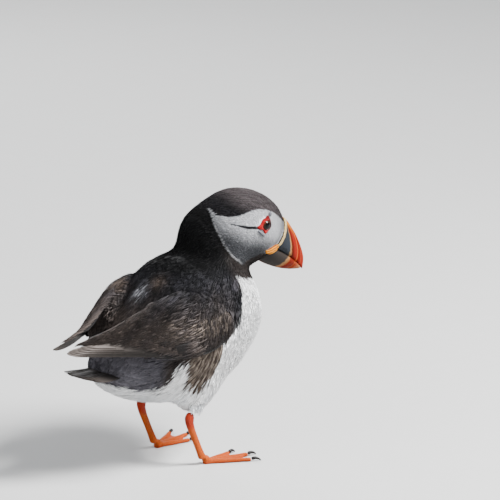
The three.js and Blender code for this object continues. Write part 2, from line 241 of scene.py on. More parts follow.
# Over the flesh the skin lies at the depth of the coat; over wings and shanks it is drawn in.
points, normals = mesh_arrays(skin.data)
depth = coat_depth(points)
loose = smooth((flesh(points) - 1.2) / 1.6)[:, None]
drawn = points - normals * (depth * 0.6)[:, None]
for _ in range(3):
    rise = slope(points)
    steep = np.maximum((rise**2).sum(1), 0.3)
    on_flesh = points - rise * ((flesh(points) + depth) / steep)[:, None]
    points = on_flesh * (1 - loose) + drawn * loose
set_points(skin.data, points)

# The crease that runs back from the eye is a fold in the skin that the feathers sink into.
EYE_CREASE = np.array([(-23, -4.6), (-15.8, -3.2), (-8.6, -1.8), (-3, 0.1), (1, 1.6)])


def line_gap(flat, line):
    """How far each flat point lies from a line of straight runs."""
    best = np.full(len(flat), 1e9)
    for a, b in zip(line[:-1], line[1:]):
        share = np.clip(((flat - a) @ (b - a)) / ((b - a) @ (b - a)), 0, 1)
        best = np.minimum(best, np.linalg.norm(flat - a - share[:, None] * (b - a), axis=1))
    return best


CREASE_DEEP, CREASE_WIDE = 0.8, 0.9
points, normals = mesh_arrays(skin.data)
local = to_head(points)
on_side = smooth((np.abs(local[:, 1]) - 8) / 4)
crease = hump(line_gap(local[:, ::2], EYE_CREASE), CREASE_WIDE) * on_side
points -= normals * (CREASE_DEEP * crease)[:, None]
set_points(skin.data, points)
skin.data.shade_smooth()


def shade(text):
    """A colour of light from its everyday six-figure name."""
    value = np.array([int(text[i : i + 2], 16) for i in (1, 3, 5)]) / 255
    return np.where(value <= 0.04045, value / 12.92, ((value + 0.055) / 1.055) ** 2.4)


def ripple(points, size, seed):
    """A smooth uneven pattern from -1 to 1, with lumps of about the size given."""
    random = np.random.default_rng(seed)
    total = np.zeros(len(points))
    for _ in range(6):
        way = unit(random.normal(size=3)) * random.uniform(0.7, 1.5) / size
        total += np.sin(points @ way * 2 * math.pi + random.uniform(0, 7))
    return np.clip(total / 3, -1, 1)


def hairlines(points, along, spacing, length, seed):
    """Fine uneven lines from -1 to 1 that run one way over the body, about the spacing apart."""
    way = unit(np.array(along, float))
    run = points @ way
    rest = points - run[:, None] * way
    return ripple(rest / spacing + run[:, None] * way / length, 1, seed)


# Edges of the markings, each point ahead and up: those of the face in the head's own frame, the
# rest in the model's.
FACE_TOP = np.array([(-39, -3), (-36.4, -0.4), (-35, -1.6), (-33, -2.9), (-24, 0), (-18, 3.2), (-13, 7.2),
                     (-8, 11), (-2.6, 14.2), (3, 15.8), (9, 16.6), (15, 16.4), (21, 15), (26, 14), (31, 13.4),
                     (37, 13)])
FACE_FOOT = np.array([(-39, -1), (-36.9, -2), (-36, -6), (-34.2, -10.8), (-29, -16), (-24.2, -20.4),
                      (-18, -24), (-13.4, -25.8), (-4, -27.6), (0.3, -27.8), (3, -25.6), (6.5, -22.3),
                      (10.3, -19.2), (15, -14.8), (20, -13.4), (31, -12)])
COLLAR_FOOT = np.array([(26, 142), (33.7, 137.6), (42.9, 134.3), (55, 131), (70, 129)])
BREAST_SIDE = np.array([(5, 94), (14, 100), (21.8, 106.7), (24.5, 117), (26, 124), (30.4, 130), (29, 134),
                        (29.5, 145)])
WHITE_TOP = np.array([(-110, 62), (-84, 74), (-75, 72), (-55, 66), (-38, 67), (-34.5, 80), (-30, 86),
                      (-25, 84), (-22, 68), (-17, 63), (-9, 61), (-4, 66), (1, 78), (4, 90), (6, 97),
                      (200, 300)])

crown_painted_light = shade("#4b4546")
crown_rear = shade("#121114")
nape_black = shade("#030304")
collar_brown = shade("#2b2624")
face_grey = shade("#b9babd")
cheek_grey_and_painted_shade = shade("#3c3d40")
face_pale = shade("#d2d2d4")
breast_white = shade("#ffffff")
breast_painted_shade = shade("#c9d0d8")
mantle_black = shade("#0f0f12")
mantle_sheen = shade("#29282d")
worn_brown = shade("#453d39")
covert_tan = shade("#75695f")
flank_brown = shade("#3d332d")
flank_tan = shade("#aa9c8e")
rump_slate = shade("#56545a")
rust_brown = shade("#4b4038")
scuffed_white = shade("#a9aab0")
crease_dark = shade("#18181b")
FLANK_RUN = (-0.32, 0, -0.95)  # the way the long feathers of the flank hang
CROWN_RUN = (0.93, 0, 0.36)  # and those of the head, in the head's own frame


def blend(a, b, share):
    share = np.asarray(share)[:, None]
    return a * (1 - share) + b * share


def face_inside(local):
    """How far inside the pale patch of the face each point of the head lies."""
    x, y, z = local.T
    over = z - np.interp(x, *FACE_FOOT.T)
    under = np.interp(x, *FACE_TOP.T) - z
    inside = np.minimum(over, under) * 0.85
    inside = np.minimum(inside, (x + 39.5) * 0.8)
    return np.minimum(inside, np.abs(y) - 6)


def white_inside(points):
    """How far inside the white of the underparts each point of the body lies."""
    x, y, z = points.T
    front = np.minimum(np.interp(x, *COLLAR_FOOT.T) - z, x - np.interp(z, *BREAST_SIDE[:, ::-1].T))
    rear = (np.interp(x, *WHITE_TOP.T) - z) * 0.6
    return np.where(z > 95, front, np.where(x > 6, 10, rear))


def spot(points, at, across, high):
    """A soft spot round a point of the body, by how far it reaches across and up."""
    gap = (points - at) / (across, across, high)
    return np.exp(-(gap**2).sum(1))


def markings(points):
    """The colour of the plumage at each point of the body."""
    local = to_head(points)
    ahead, across, up = local.T
    x, y, z = points.T
    wear = 0.5 + 0.5 * ripple(points, 14, 3)
    head = smooth((46 - np.linalg.norm(points - HEAD_AT, axis=1)) / 12)
    mottle = 0.5 + 0.5 * hairlines(points, (-0.8, 0, -0.6), 7, 16, 41)
    colour = blend(mantle_black, mantle_sheen, mottle**1.5 * smooth((152 - z) / 24))
    worn = 0.35 + 0.5 * wear + 0.25 * smooth((-35 - x) / 15)
    brown = smooth((141 - z) / 30) * worn * smooth((24 - x) / 20)
    colour = blend(colour, worn_brown, brown)
    band = smooth((122 - z) / 5) * smooth((z - 105) / 4) * smooth((14 - x) / 16) * smooth((x + 48) / 8)
    tan = smooth(0.4 + 0.6 * hairlines(points, (-0.12, 0, -1), 3.4, 13, 42))
    colour = blend(colour, covert_tan, band * tan * 0.65 * (np.abs(y) > 34))
    colour = blend(colour, rump_slate, smooth((-38 - x) / 8) * smooth((100 - z) / 8))
    colour = blend(colour, nape_black, smooth((z - 142) / 8))
    front = smooth((x - 20) / 14) * smooth((z - 128) / 6) * smooth((168 - z) / 14)
    colour = blend(colour, collar_brown, front)
    # Painted light: toward its top and front the crown's black is made a lighter grey, as if sunlit.
    crown = blend(crown_rear, crown_painted_light, smooth((up - 4) / 14) * smooth((ahead + 40) / 24))
    crown = crown * (1 + 0.35 * hairlines(local, CROWN_RUN, 2.2, 12, 47))[:, None]
    colour = blend(colour, crown, head * smooth((up + 6) / 8))
    old = spot(points, (-23, -7.4, 138), 6, 6) + spot(points, (-35, 25, 134), 7, 5)
    colour = blend(colour, rust_brown, 0.7 * old)
    scuffs = smooth(0.6 + hairlines(points, (-0.7, 0, -0.7), 2.2, 9, 43))
    colour = blend(colour, scuffed_white, scuffs * spot(points, (-33, 2, 131), 5, 7))

    hair = hairlines(points, FLANK_RUN, 3.6, 24, 44)
    panel = smooth((x + 27) / 5) * smooth((8 - x) / 4) * smooth((96 - z) / 4)
    flank = blend(flank_brown, flank_tan, smooth(hair * 0.55 + 0.4) * 0.75)
    colour = blend(colour, flank, panel)
    rough = 0.9 * ripple(points, 3.1, 5) + 3.4 * hair * smooth((4 - x) / 6) * smooth((x + 52) / 10) * (z < 96)
    # Painted shade: low on the belly the white is clouded with blue-grey in uneven patches.
    shaded = 0.5 * smooth(0.5 + 0.5 * ripple(points, 9, 45)) * smooth((70 - z) / 30)
    under = blend(breast_white, breast_painted_shade, shaded)
    colour = blend(colour, under, smooth((white_inside(points) + rough) / 1.2 + 0.5))

    inside = face_inside(local)
    # The face's grey darkens toward the chin, partly its own colour and partly painted shade, as if lit from
    # above.
    low = smooth((2 - up + np.clip((ahead + 2) * 0.38, 0, 5)) / 20)
    grey = blend(face_grey, cheek_grey_and_painted_shade, low)
    behind = smooth((-4 - ahead) / 14)
    grey = grey * (1 - 0.13 * behind)[:, None]
    rim = smooth((1.6 - np.maximum(up - np.interp(ahead, *FACE_FOOT.T), 0) * 0.8) / 1.6)
    grey = blend(grey, face_pale, 0.36 * rim * smooth((1 - ahead) / 4))
    grey = grey * (1 - 0.45 * smooth((-29 - ahead) / 8))[:, None]
    barred = hairlines(local, CROWN_RUN, 1.5, 10, 46)
    grey = grey * (1 + 0.11 * barred * (0.35 + 0.65 * behind))[:, None]
    beside = np.interp(ahead, (-23, -16, -9, 0), (0.1, 0.45, 0.85, 1.0))
    dark = smooth((beside + 0.4 - line_gap(local[:, ::2], EYE_CREASE)) / 0.5) * (np.abs(across) > 10)
    grey = blend(grey, crease_dark, dark)
    face_edge = smooth((inside + 0.25 * ripple(points, 1.7, 6)) / 0.5 + 0.5)
    return blend(colour, grey, face_edge)


def put_colour(mesh, colours):
    layer = mesh.attributes.new("tint", "FLOAT_COLOR", "POINT")
    full = np.ones((len(colours), 4), np.float32)
    full[:, :3] = colours
    layer.data.foreach_set("color", full.ravel())


def put_value(mesh, name, values):
    mesh.attributes.new(name, "FLOAT", "POINT").data.foreach_set("value", values.astype(np.float32))


SKIN_DARKER = 0.8  # than the feathers over it
skin_points, skin_normals = mesh_arrays(skin.data)
put_colour(skin.data, markings(skin_points) * SKIN_DARKER)

skin.data.uv_layers.new(name="OFBake")
for other in bpy.context.selected_objects:
    other.select_set(False)
skin.select_set(True)
bpy.context.view_layer.objects.active = skin
bpy.ops.object.mode_set(mode="EDIT")
bpy.ops.mesh.select_all(action="SELECT")
bpy.ops.uv.smart_project(angle_limit=math.radians(66), island_margin=0.002)
bpy.ops.object.mode_set(mode="OBJECT")


def wire(tree, kind, inputs=None, **settings):
    """Adds a shader node of the kind, sets it, and joins or sets its sockets."""
    node = tree.nodes.new(f"ShaderNode{kind}")
    for key, value in settings.items():
        setattr(node, key, value)
    for socket, value in (inputs or {}).items():
        if isinstance(value, bpy.types.NodeSocket):
            tree.links.new(value, node.inputs[socket])
        else:
            node.inputs[socket].default_value = value
    return node


def finish_of(name, roughness, **sockets):
    """A new material, with its tree."""
    material = bpy.data.materials.new(name)
    material.use_nodes = True
    tree = material.node_tree
    for socket, value in {"Roughness": roughness, **sockets}.items():
        tree.nodes["Principled BSDF"].inputs[socket.replace("_", " ")].default_value = value
    return material, tree


def carried(tree, name, socket="Color"):
    """The tint, or another value, that the piece's own points carry."""
    return wire(tree, "Attribute", attribute_name=name).outputs[socket]


def object_place(tree):
    return wire(tree, "TexCoord").outputs["Object"]


def object_noise(tree, scale, detail=2.0):
    """Uneven pattern, `scale` lumps to a metre."""
    sockets = {"Vector": object_place(tree), "Scale": scale, "Detail": detail}
    return wire(tree, "TexNoise", sockets).outputs["Fac"]


def drawn_noise(tree, place, stretch, scale=1.0, detail=2.0):
    """Uneven pattern drawn out along some ways more than others."""
    place = wire(tree, "Mapping", {"Vector": place, "Scale": stretch}).outputs["Vector"]
    return wire(tree, "TexNoise", {"Vector": place, "Scale": scale, "Detail": detail}).outputs["Fac"]


def ranged(tree, value, start, end, low=0.0, high=1.0):
    """A value that runs from low to high as another runs from start to end, and stops there."""
    limits = {"Value": value, "From Min": start, "From Max": end, "To Min": low, "To Max": high}
    return wire(tree, "MapRange", limits).outputs["Result"]


def toned(tree, colour, pattern, low, high):
    """A colour made darker and lighter by a pattern."""
    tone = ranged(tree, pattern, 0.0, 1.0, low, high)
    return wire(tree, "VectorMath", {0: colour, "Scale": tone}, operation="SCALE").outputs["Vector"]


def mixed(tree, share, first, second):
    """A mix of two colours, each by name or from another node."""
    first, second = ((*shade(colour), 1) if isinstance(colour, str) else colour for colour in (first, second))
    return wire(tree, "Mix", {"Factor": share, 6: first, 7: second}, data_type="RGBA").outputs[2]


def banded(tree, value, stops):
    """Colours by name along a value from 0 to 1, each from its place on."""
    ramp = wire(tree, "ValToRGB", {"Fac": value})
    elements = ramp.color_ramp.elements
    for index, (place, text) in enumerate(stops):
        element = elements.new(place) if index else elements[0]
        element.position, element.color = place, (*shade(text), 1)
    elements.remove(elements[-1])
    return ramp.outputs["Color"]


def sums(tree, operation, *values):
    return wire(tree, "Math", dict(enumerate(values)), operation=operation).outputs["Value"]


def clad(tree, colour, relief=None, height=0.0):
    """Joins a material's colour to it, and a relief of the height given in millimetres."""
    shader = tree.nodes["Principled BSDF"]
    tree.links.new(colour, shader.inputs["Base Color"])
    if relief:
        bump = wire(tree, "Bump", {"Height": relief, "Distance": height * MM, "Strength": 1.0})
        tree.links.new(bump.outputs["Normal"], shader.inputs["Normal"])


down, tree = finish_of("down_under_feathers", 0.9, Sheen_Weight=0.2)
speck = object_noise(tree, 1500, 3)
clad(tree, toned(tree, carried(tree, "tint"), speck, 0.75, 1.2), speck, 0.25)
skin.data.materials.append(down)
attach(skin, "root")
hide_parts("head", "neck", "trunk", "wing_right", "wing_left", "thigh_right", "thigh_left")

# ------------------------------------------------------------------ coat of small feathers
# Small feathers over the whole body, each a thin closed vane rooted in the skin. They are
# shortest on the face, longer down the neck and body, and lie the way the bird preens them.

random = np.random.default_rng(20)
skin_tree = BVHTree.FromObject(skin, bpy.context.evaluated_depsgraph_get())
skin_faces = np.array([face.vertices[:] for face in skin.data.polygons])
face_at = skin_points[skin_faces].mean(1)
face_up = unit(skin_normals[skin_faces].mean(1))
face_area = np.zeros(len(skin_faces), np.float32)
skin.data.polygons.foreach_get("area", face_area)
face_area = face_area / MM**2
skin_uv = np.zeros(len(skin.data.loops) * 2, np.float32)
skin.data.uv_layers["OFBake"].data.foreach_get("uv", skin_uv)
face_uv = skin_uv.reshape(-1, 4, 2).mean(1)


def on_skin(points):
    """The nearest points of the skin, with the way out of it and the face there."""
    faces = np.array([skin_tree.find_nearest(Vector(point))[2] for point in points * MM])
    normal = face_up[faces]
    off = ((points - face_at[faces]) * normal).sum(1, keepdims=True)
    return points - normal * off, normal, faces


def guides(rows, head=False):
    """Strokes of the lie of the plumage, on both sides: where each is and the way it runs. The rows
    give the right side's, in the model's frame or in the head's."""
    made = []
    for at, way in rows:
        for side in WORDS.values():
            here = np.array(at, float) * (1, -side, 1)
            run = np.array(way, float) * (1, -side, 1)
            made.append((from_head(here), HEAD_TURN @ run) if head else (here, run))
    return made


strokes = guides([
    ((30, 0, 19), (-1, 0, 0.3)), ((8, 0, 25), (-1, 0, 0)), ((-18, 0, 20), (-0.9, 0, -0.4)),
    ((-38, 0, 2), (-0.35, 0, -0.94)), ((26, -13, 8), (-1, -0.3, 0.1)), ((24, -13, -4), (-1, -0.2, -0.1)),
    ((4, -18, 14), (-1, -0.1, 0.08)), ((-12, -22, 4), (-1, 0, -0.12)), ((-28, -24, -8), (-0.94, 0, -0.34)),
    ((0, -22, -12), (-0.98, 0, -0.15)), ((12, -16, -18), (-0.93, 0, -0.3)), ((18, 0, -20), (-0.9, 0, -0.4)),
    ((-12, -24, -22), (-0.93, 0, -0.36)), ((-37, -15, -12), (-0.5, 0.3, -0.85)),
    ((-30, -16, -24), (-0.5, 0.1, -0.85)),
], head=True) + guides([
    ((52, 0, 142), (-0.3, 0, -0.95)), ((30, -27, 148), (-0.4, -0.1, -0.9)),
    ((40, -28, 140), (-0.2, 0, -0.97)),
    ((6, 0, 166), (-0.65, 0, -0.75)), ((-10, 0, 150), (-0.87, 0, -0.5)), ((-35, 0, 128), (-0.87, 0, -0.5)),
    ((-65, 0, 98), (-0.97, 0, -0.22)), ((10, -36, 136), (-0.8, -0.15, -0.55)), ((62, 0, 110), (-0.1, 0, -1)),
    ((40, -32, 110), (-0.25, -0.1, -0.96)), ((50, 0, 80), (-0.5, 0, -0.86)),
    ((25, -15, 62), (-0.85, 0, -0.5)),
    ((-5, 0, 55), (-1, 0, -0.1)), ((4, -44, 88), (-0.4, 0, -0.92)), ((-25, -40, 78), (-0.8, 0, -0.6)),
    ((-3, -38, 62), (-0.3, 0, -0.95)), ((-10, -27, 45), (-0.1, 0, -1)), ((-40, 0, 60), (-1, 0, 0.15)),
    ((-50, -25, 80), (-0.98, 0, -0.15)), ((-72, 0, 75), (-1, 0, 0.1)), ((22, -44, 118), (-0.35, 0, -0.94)),
    ((-5, -50, 112), (-0.5, 0, -0.87)), ((-28, -48, 108), (-0.8, 0, -0.6)),
    ((-50, -38, 104), (-0.96, 0, -0.28)),
    ((-20, -36, 130), (-0.9, -0.1, -0.42)), ((-50, -20, 112), (-0.95, 0, -0.3)),
])
stroke_at = np.array([at for at, _ in strokes])
stroke_way = unit(np.array([way for _, way in strokes]))


def lie(points, normals):
    """The way the plumage lies at each point of the skin."""
    gap = np.linalg.norm(points[:, None] - stroke_at, axis=2)
    way = (1 / (gap + 3) ** 4) @ stroke_way
    return unit(way - normals * (way * normals).sum(1, keepdims=True))


def laid(points, normals, ways, lengths, stations):
    """Feather spines laid along the skin from their roots, with the way out at each station."""
    spine, out = [points], [normals]
    for _ in range(stations - 1):
        points, normals = on_skin(points + ways * (lengths / (stations - 1))[:, None])[:2]
        ways = unit(ways - normals * (ways * normals).sum(1, keepdims=True))
        spine.append(points)
        out.append(normals)
    return np.stack(spine, 1), np.stack(out, 1)


def feather_tint(spine, spread):
    """Each feather's colour, from the markings where it lies, a little uneven by the spread."""
    uneven = np.exp(random.normal(0, spread, (len(spine), 1)))
    return markings(spine[:, 0] * 0.4 + spine[:, -1] * 0.6) * uneven


OFBAKE_PATCH = 0.003  # how wide each feather's patch is on its map


def vanes(name, spine, out, wide, outline, colour, faces, material=None, across=3, thick=0.0, camber=0.25,
          sweep=0.5, jag=0.0, tip=None):
    """One mesh of closed feather vanes. spine and out hold each feather's stations, wide its half width,
    outline the share of it at each station, colour and tip its tint at root and tip, and faces the
    skin's face at its root."""
    count, stations = spine.shape[:2]
    side = np.linspace(-1, 1, across)
    along = np.linspace(0, 1, stations)
    forward = unit(np.gradient(spine, axis=1))
    cross = unit(np.cross(out, forward))
    half = wide[:, None] * np.asarray(outline)[None]
    lag = -sweep * side**2 * (along[:, None] ** 2)
    ragged = random.normal(0, 1, (count, 1, across)) * jag * along[None, :, None] ** 4
    top = (
        spine[:, :, None]
        + cross[:, :, None] * (half[:, :, None] * side)[..., None]
        + out[:, :, None] * (half[:, :, None] * camber * (1 - side**2))[..., None]
        + forward[:, :, None] * (wide[:, None, None] * (lag[None] + ragged))[..., None]
    )
    under = top[:, :, -2:0:-1] - out[:, :, None] * thick if across > 3 else top[:, :, :0]
    ring = np.concatenate([top, under], 2)
    round_count = ring.shape[2]
    vertex = np.arange(count * stations * round_count).reshape(count, stations, round_count)
    after = np.roll(vertex, -1, axis=2)
    quads = np.stack([vertex[:, :-1], vertex[:, 1:], after[:, 1:], after[:, :-1]], -1).reshape(count, -1, 4)
    root_cap, tip_cap = vertex[:, 0], vertex[:, -1, ::-1]
    loops = np.concatenate([quads.reshape(count, -1), root_cap, tip_cap], 1)
    sizes = np.array([4] * quads.shape[1] + [round_count] * 2)
    mesh = bpy.data.meshes.new(name)
    mesh.vertices.add(vertex.size)
    mesh.vertices.foreach_set("co", (ring * MM).astype(np.float32).ravel())
    mesh.loops.add(loops.size)
    mesh.loops.foreach_set("vertex_index", loops.astype(np.int32).ravel())
    mesh.polygons.add(count * len(sizes))
    starts = np.concatenate([[0], np.cumsum(np.tile(sizes, count))[:-1]])
    mesh.polygons.foreach_set("loop_start", starts.astype(np.int32))
    mesh.update(calc_edges=True)
    place = np.zeros((stations, round_count, 2), np.float32)
    place[..., 0] = np.concatenate([side, side[-2:0:-1]] if across > 3 else [side]) * 0.5 + 0.5
    place[..., 1] = along[:, None]
    place = np.broadcast_to(place, (count, stations, round_count, 2)).reshape(-1, 2)
    lie_map = mesh.uv_layers.new(name="vane")
    lie_map.data.foreach_set("uv", place[loops.ravel()].ravel())
    lie_map.active_render = True
    patch = face_uv[faces][:, None, :] + (place[loops[0]].reshape(1, -1, 2) - 0.5) * OFBAKE_PATCH
    bake = mesh.uv_layers.new(name="OFBake")
    bake.data.foreach_set("uv", patch.astype(np.float32).ravel())
    tip = colour if tip is None else tip
    share = (along**1.5)[None, :, None, None]
    tints = colour[:, None, None] * (1 - share) + tip[:, None, None] * share
    put_colour(mesh, np.broadcast_to(tints, (count, stations, round_count, 3)).reshape(-1, 3))
    mesh.materials.append(material or soft_feather)
    mesh.shade_smooth()
    made = linked(name, mesh)
    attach(made, "root")
    return made


# Feather keratin: soft and barely shiny, streaked along each lock of barbs.
soft_feather, tree = finish_of("soft_feather", 0.85, Specular_IOR_Level=0.08, Sheen_Weight=0.03)
on_vane = wire(tree, "UVMap", uv_map="vane").outputs["UV"]
streak = drawn_noise(tree, on_vane, (7, 1.2, 1), 1.5)
colour = toned(tree, carried(tree, "tint"), streak, 0.86, 1.14)
clad(tree, toned(tree, colour, object_noise(tree, 700), 0.88, 1.12), streak, 0.06)

head_local = to_head(face_at)
EYE = {"x": 6.0, "z": 5.9, "radius": 5.0, "sunk": 3.0}
RING_CORNERS = ((83, 7.0), (217, 7.6), (290, 6.4))  # the turn of each from ahead, and how far out it is
RING_ROUND = 4.5  # how far the ring reaches between its corners
MOUTH_CORNER = (26.5, -7.8)  # ahead and up in the head's own frame
RIM_LINE = np.array([(-26, 26), (-20, 27.5), (-9, 30.5), (-2.5, 34.2), (6, 35), (15.5, 33), (22, 28.5)])


def eye_place(side):
    """The middle of the eyeball, with its three ways: ahead, out of the head, and up."""
    middle = from_head([[EYE["x"], 0, EYE["z"]]])
    sideways = HEAD_TURN @ np.array([0.0, side, 0.0])
    far = reach(middle, sideways[None])[0]
    turned = math.radians(12)
    ahead = HEAD_TURN @ np.array([math.cos(turned), -side * math.sin(turned), 0])
    out = HEAD_TURN @ np.array([math.sin(turned), side * math.cos(turned), 0])
    return middle[0] + sideways * (far - EYE["sunk"]), ahead, out, HEAD_TURN[:, 2]


def ring_reach(turn):
    """How far the red ring reaches from the middle of the eye, by the turn from straight ahead."""
    far = np.full(np.shape(turn), RING_ROUND)
    for corner, reaches in RING_CORNERS:
        gap = (np.asarray(turn) - math.radians(corner) + math.pi) % (2 * math.pi) - math.pi
        far = np.maximum(far, RING_ROUND + (reaches - RING_ROUND) * hump(gap, 0.3) + 0.3 * hump(gap, 0.8))
    return far


def bare(points):
    """Where no feather grows: round the eyes, in the corners of the mouth and under the bill's horn."""
    local = to_head(points)
    hidden = (local[:, 0] > np.interp(local[:, 2], *RIM_LINE.T) - 1.2) & (local[:, 2] > -28)
    for side in WORDS.values():
        centre, ahead, out, upward = eye_place(side)
        away = points - centre
        over, forth = away @ upward, away @ ahead
        hidden |= (np.hypot(forth, over) < ring_reach(np.arctan2(over, forth)) - 0.3) & (away @ out > 0)
        flat = local[:, ::2] - MOUTH_CORNER
        along, across = flat @ unit(np.array([0.85, 0.55])), flat @ unit(np.array([-0.55, 0.85]))
        hidden |= ((along / 7.5) ** 2 + (across / 3.2) ** 2 < 1) & (np.abs(local[:, 1]) > 6)
    return hidden


# The parts of the skin that each kind of feather grows on.
at_x, at_y, at_z = face_at.T
off_middle = np.abs(at_y)
outside = flesh(face_at) > -coat_depth(face_at) + 1.0
on_face = face_inside(head_local) > 0
is_bare = bare(face_at)
near_head = np.linalg.norm(face_at - HEAD_AT, axis=1) < 42
on_head = ~on_face & near_head & (head_local[:, 2] > -34)
on_neck = ~on_face & ~on_head & (at_z > np.interp(at_x, *COLLAR_FOOT.T)) & (at_x > 4)
on_breast = (white_inside(face_at) > 0) & ~on_neck & (at_x > 6)
on_shank = (at_z < 56) & (off_middle > 14)
on_flank = (at_z < 96) & (at_x < 8) & (off_middle > 17) & (at_x > -37) | on_shank
on_back = (at_z > 96) & ~on_face & ~on_head & ~on_neck & ~on_breast


def sow(where, per_mm2):
    """Roots spread over some of the skin, some to each square millimetre."""
    wanted = np.where(where & ~is_bare, face_area * per_mm2, 0)
    number = np.floor(wanted + random.random(len(wanted))).astype(int)
    faces = np.repeat(np.arange(len(wanted)), number)
    corners = skin_points[skin_faces[faces]]
    u, v = random.random((2, len(faces), 1))
    near, far = (corners[:, i] * (1 - u) + corners[:, j] * u for i, j in ((0, 1), (3, 2)))
    points = near * (1 - v) + far * v
    keep = ~bare(points)
    return points[keep], face_up[faces[keep]], faces[keep]


FEATHER_ROOT = 0.3  # how deep the roots are sunk
TURNED_OVER = 0.55  # a feather's way out at any station, against that at its root, as a cosine


def grown(points, normals, faces, length, vary, lift, lift_vary, stray, stations, curve, shortened=1.0):
    """Feathers laid from their roots and lifted toward their tips: their spines, the way out and the
    skin's faces at their roots. Those that would reach a bare place are shortened, and those that
    would turn over in a cleft of the body are left out."""
    count = len(points)
    run = lie(points, normals)
    ways = unit(run + np.cross(normals, run) * random.normal(0, stray, (count, 1)))
    lengths = length * random.uniform(*vary, count)
    lengths[bare(points + ways * lengths[:, None])] *= shortened
    spine, out = laid(points, normals, ways, lengths, stations)
    keep = ((out * out[:, :1]).sum(2) > TURNED_OVER).all(1)
    spine, out = spine[keep], out[keep]
    rise = lift[keep] * random.uniform(*lift_vary, len(spine))
    along = np.linspace(0, 1, stations) ** curve
    return spine + out * (-FEATHER_ROOT + (rise + FEATHER_ROOT)[:, None] * along)[..., None], out, faces[keep]


def coat(name, where, per_mm2, length, wide, stray, spread, lift=1.0, stations=3):
    """A piece of the coat: how many small feathers to a square millimetre, how long and wide they are,
    how far they stray from the lie and differ in tint, and how much they stand off."""
    points, normals, faces = sow(where, per_mm2)
    spine, out, faces = grown(points, normals, faces, length, (0.75, 1.2), coat_depth(points) * lift,
                              (0.6, 1.15), stray, stations, 0.85, shortened=0.45)
    colour = feather_tint(spine, spread)
    outline = (0.55, 1.0, 0.12) if stations == 3 else (0.45, 0.95, 0.85, 0.12)
    vanes(name, spine, out, wide / 2 * random.uniform(0.75, 1.3, len(spine)), outline, colour, faces)


elsewhere = ~(on_face | on_head | on_neck | on_breast | on_flank | on_back)
coat("coat_face", on_face, 3.4, 3.6, 0.45, 0.05, 0.07, lift=0.9)
coat("coat_crown", on_head, 2.4, 4.2, 0.6, 0.08, 0.14, lift=0.95)
coat("coat_neck", on_neck, 1.6, 6.0, 0.7, 0.1, 0.14)
coat("coat_breast", on_breast, 1.0, 9.0, 0.8, 0.05, 0.025)
coat("coat_flank", on_flank & ~on_shank, 1.2, 12, 0.9, 0.07, 0.16, lift=1.15, stations=4)
coat("coat_shank", on_shank, 1.1, 10.5, 0.8, 0.16, 0.05, lift=1.3)
coat("coat_belly", elsewhere, 0.7, 9.0, 1.1, 0.1, 0.06)
coat("coat_back", on_back, 0.4, 7.5, 1.2, 0.12, 0.12, lift=0.6)

# ------------------------------------------------------------------ feathers of back and wings
# Broad contour feathers over the mantle, shoulders and folded wings, each with a shaft and two
# webs of barbs. Each overlaps the next like a roof tile, and old ones are worn brown at the tip.

def vane_finish(name, fringe, roughness):
    """Stiffer keratin with a shaft and swept barbs, paler along the fringe by the share given."""
    material, tree = finish_of(name, roughness, Specular_IOR_Level=0.1, Sheen_Weight=0.03)
    on_vane = wire(tree, "UVMap", uv_map="vane").outputs["UV"]
    split = wire(tree, "SeparateXYZ", {"Vector": on_vane}).outputs
    web = sums(tree, "ABSOLUTE", sums(tree, "SUBTRACT", split["X"], 0.5))
    swept = sums(tree, "MULTIPLY_ADD", web, -0.55, split["Y"])
    barbs = wire(tree, "CombineXYZ", {"X": swept, "Y": web}).outputs["Vector"]
    barbs = drawn_noise(tree, barbs, (38, 2.2, 1), detail=3.0)
    colour = toned(tree, carried(tree, "tint"), barbs, 0.82, 1.2)
    colour = toned(tree, colour, ranged(tree, web, 0.02, 0.05), 0.78, 1.0)  # the dark shaft
    colour = toned(tree, colour, ranged(tree, web, 0.38, 0.5), 1.0, 1.0 + fringe)
    clad(tree, toned(tree, colour, object_noise(tree, 260, 3), 0.85, 1.17), barbs, 0.12)
    return material


back_feather = vane_finish("back_feather", 0.1, 0.8)
WING = SHIFT[[0, 1, 1, 1, 1, 1]] + [  # along, out and up from the middle, half thickness, half height, lean
    (29, 33, 122, 3, 6, 18), (19, 36.5, 121, 8, 15, 19), (-4, 39, 116, 11.5, 23, 24),
    (-28, 36, 113, 11.5, 25, 30), (-52, 27, 108.5, 8, 19.5, 38), (-76, 17, 104.5, 3.6, 12, 42),
    (-98, 9.5, 102.5, 1.6, 6.4, 42), (-113, 7, 102, 0.9, 3, 42),
]


def through(rows, share):
    """A smooth line through evenly spaced rows, at shares of its length from 0 to 1."""
    rows = np.asarray(rows, float)
    place = np.clip(share, 0, 1) * (len(rows) - 1)
    first = np.minimum(place.astype(int), len(rows) - 2)
    t = (place - first)[..., None]
    a, b, c, d = (rows[np.clip(first + k, 0, len(rows) - 1)] for k in (-1, 0, 1, 2))
    return b + 0.5 * t * (c - a + t * (2 * a - 5 * b + 4 * c - d + t * (3 * (b - c) + d - a)))


# Where the small feathers of the wing end and the long ones show: by height, the share along the wing.
COVERT_END = np.array([(-1, 0.42), (-0.9, 0.445), (-0.76, 0.5), (-0.54, 0.56), (-0.3, 0.63), (0.1, 0.705),
                       (0.42, 0.79), (0.84, 0.865)])


def past_coverts(share, height):
    """How far along the wing past the ends of its small feathers, below 0 under them."""
    return share - np.interp(height, *COVERT_END.T)


def wing_spot(points):
    """The share along the wing and the height across it at points near it."""
    share = np.interp(-points[:, 0], -WING[:, 0], np.linspace(0, 1, len(WING)))
    here = through(WING, share)
    return share, (points[:, 2] - here[:, 2]) / (here[:, 4] * np.cos(np.radians(here[:, 5])))


ROUND_TIP = (0.45, 0.85, 1.0, 0.98, 0.8, 0.42)


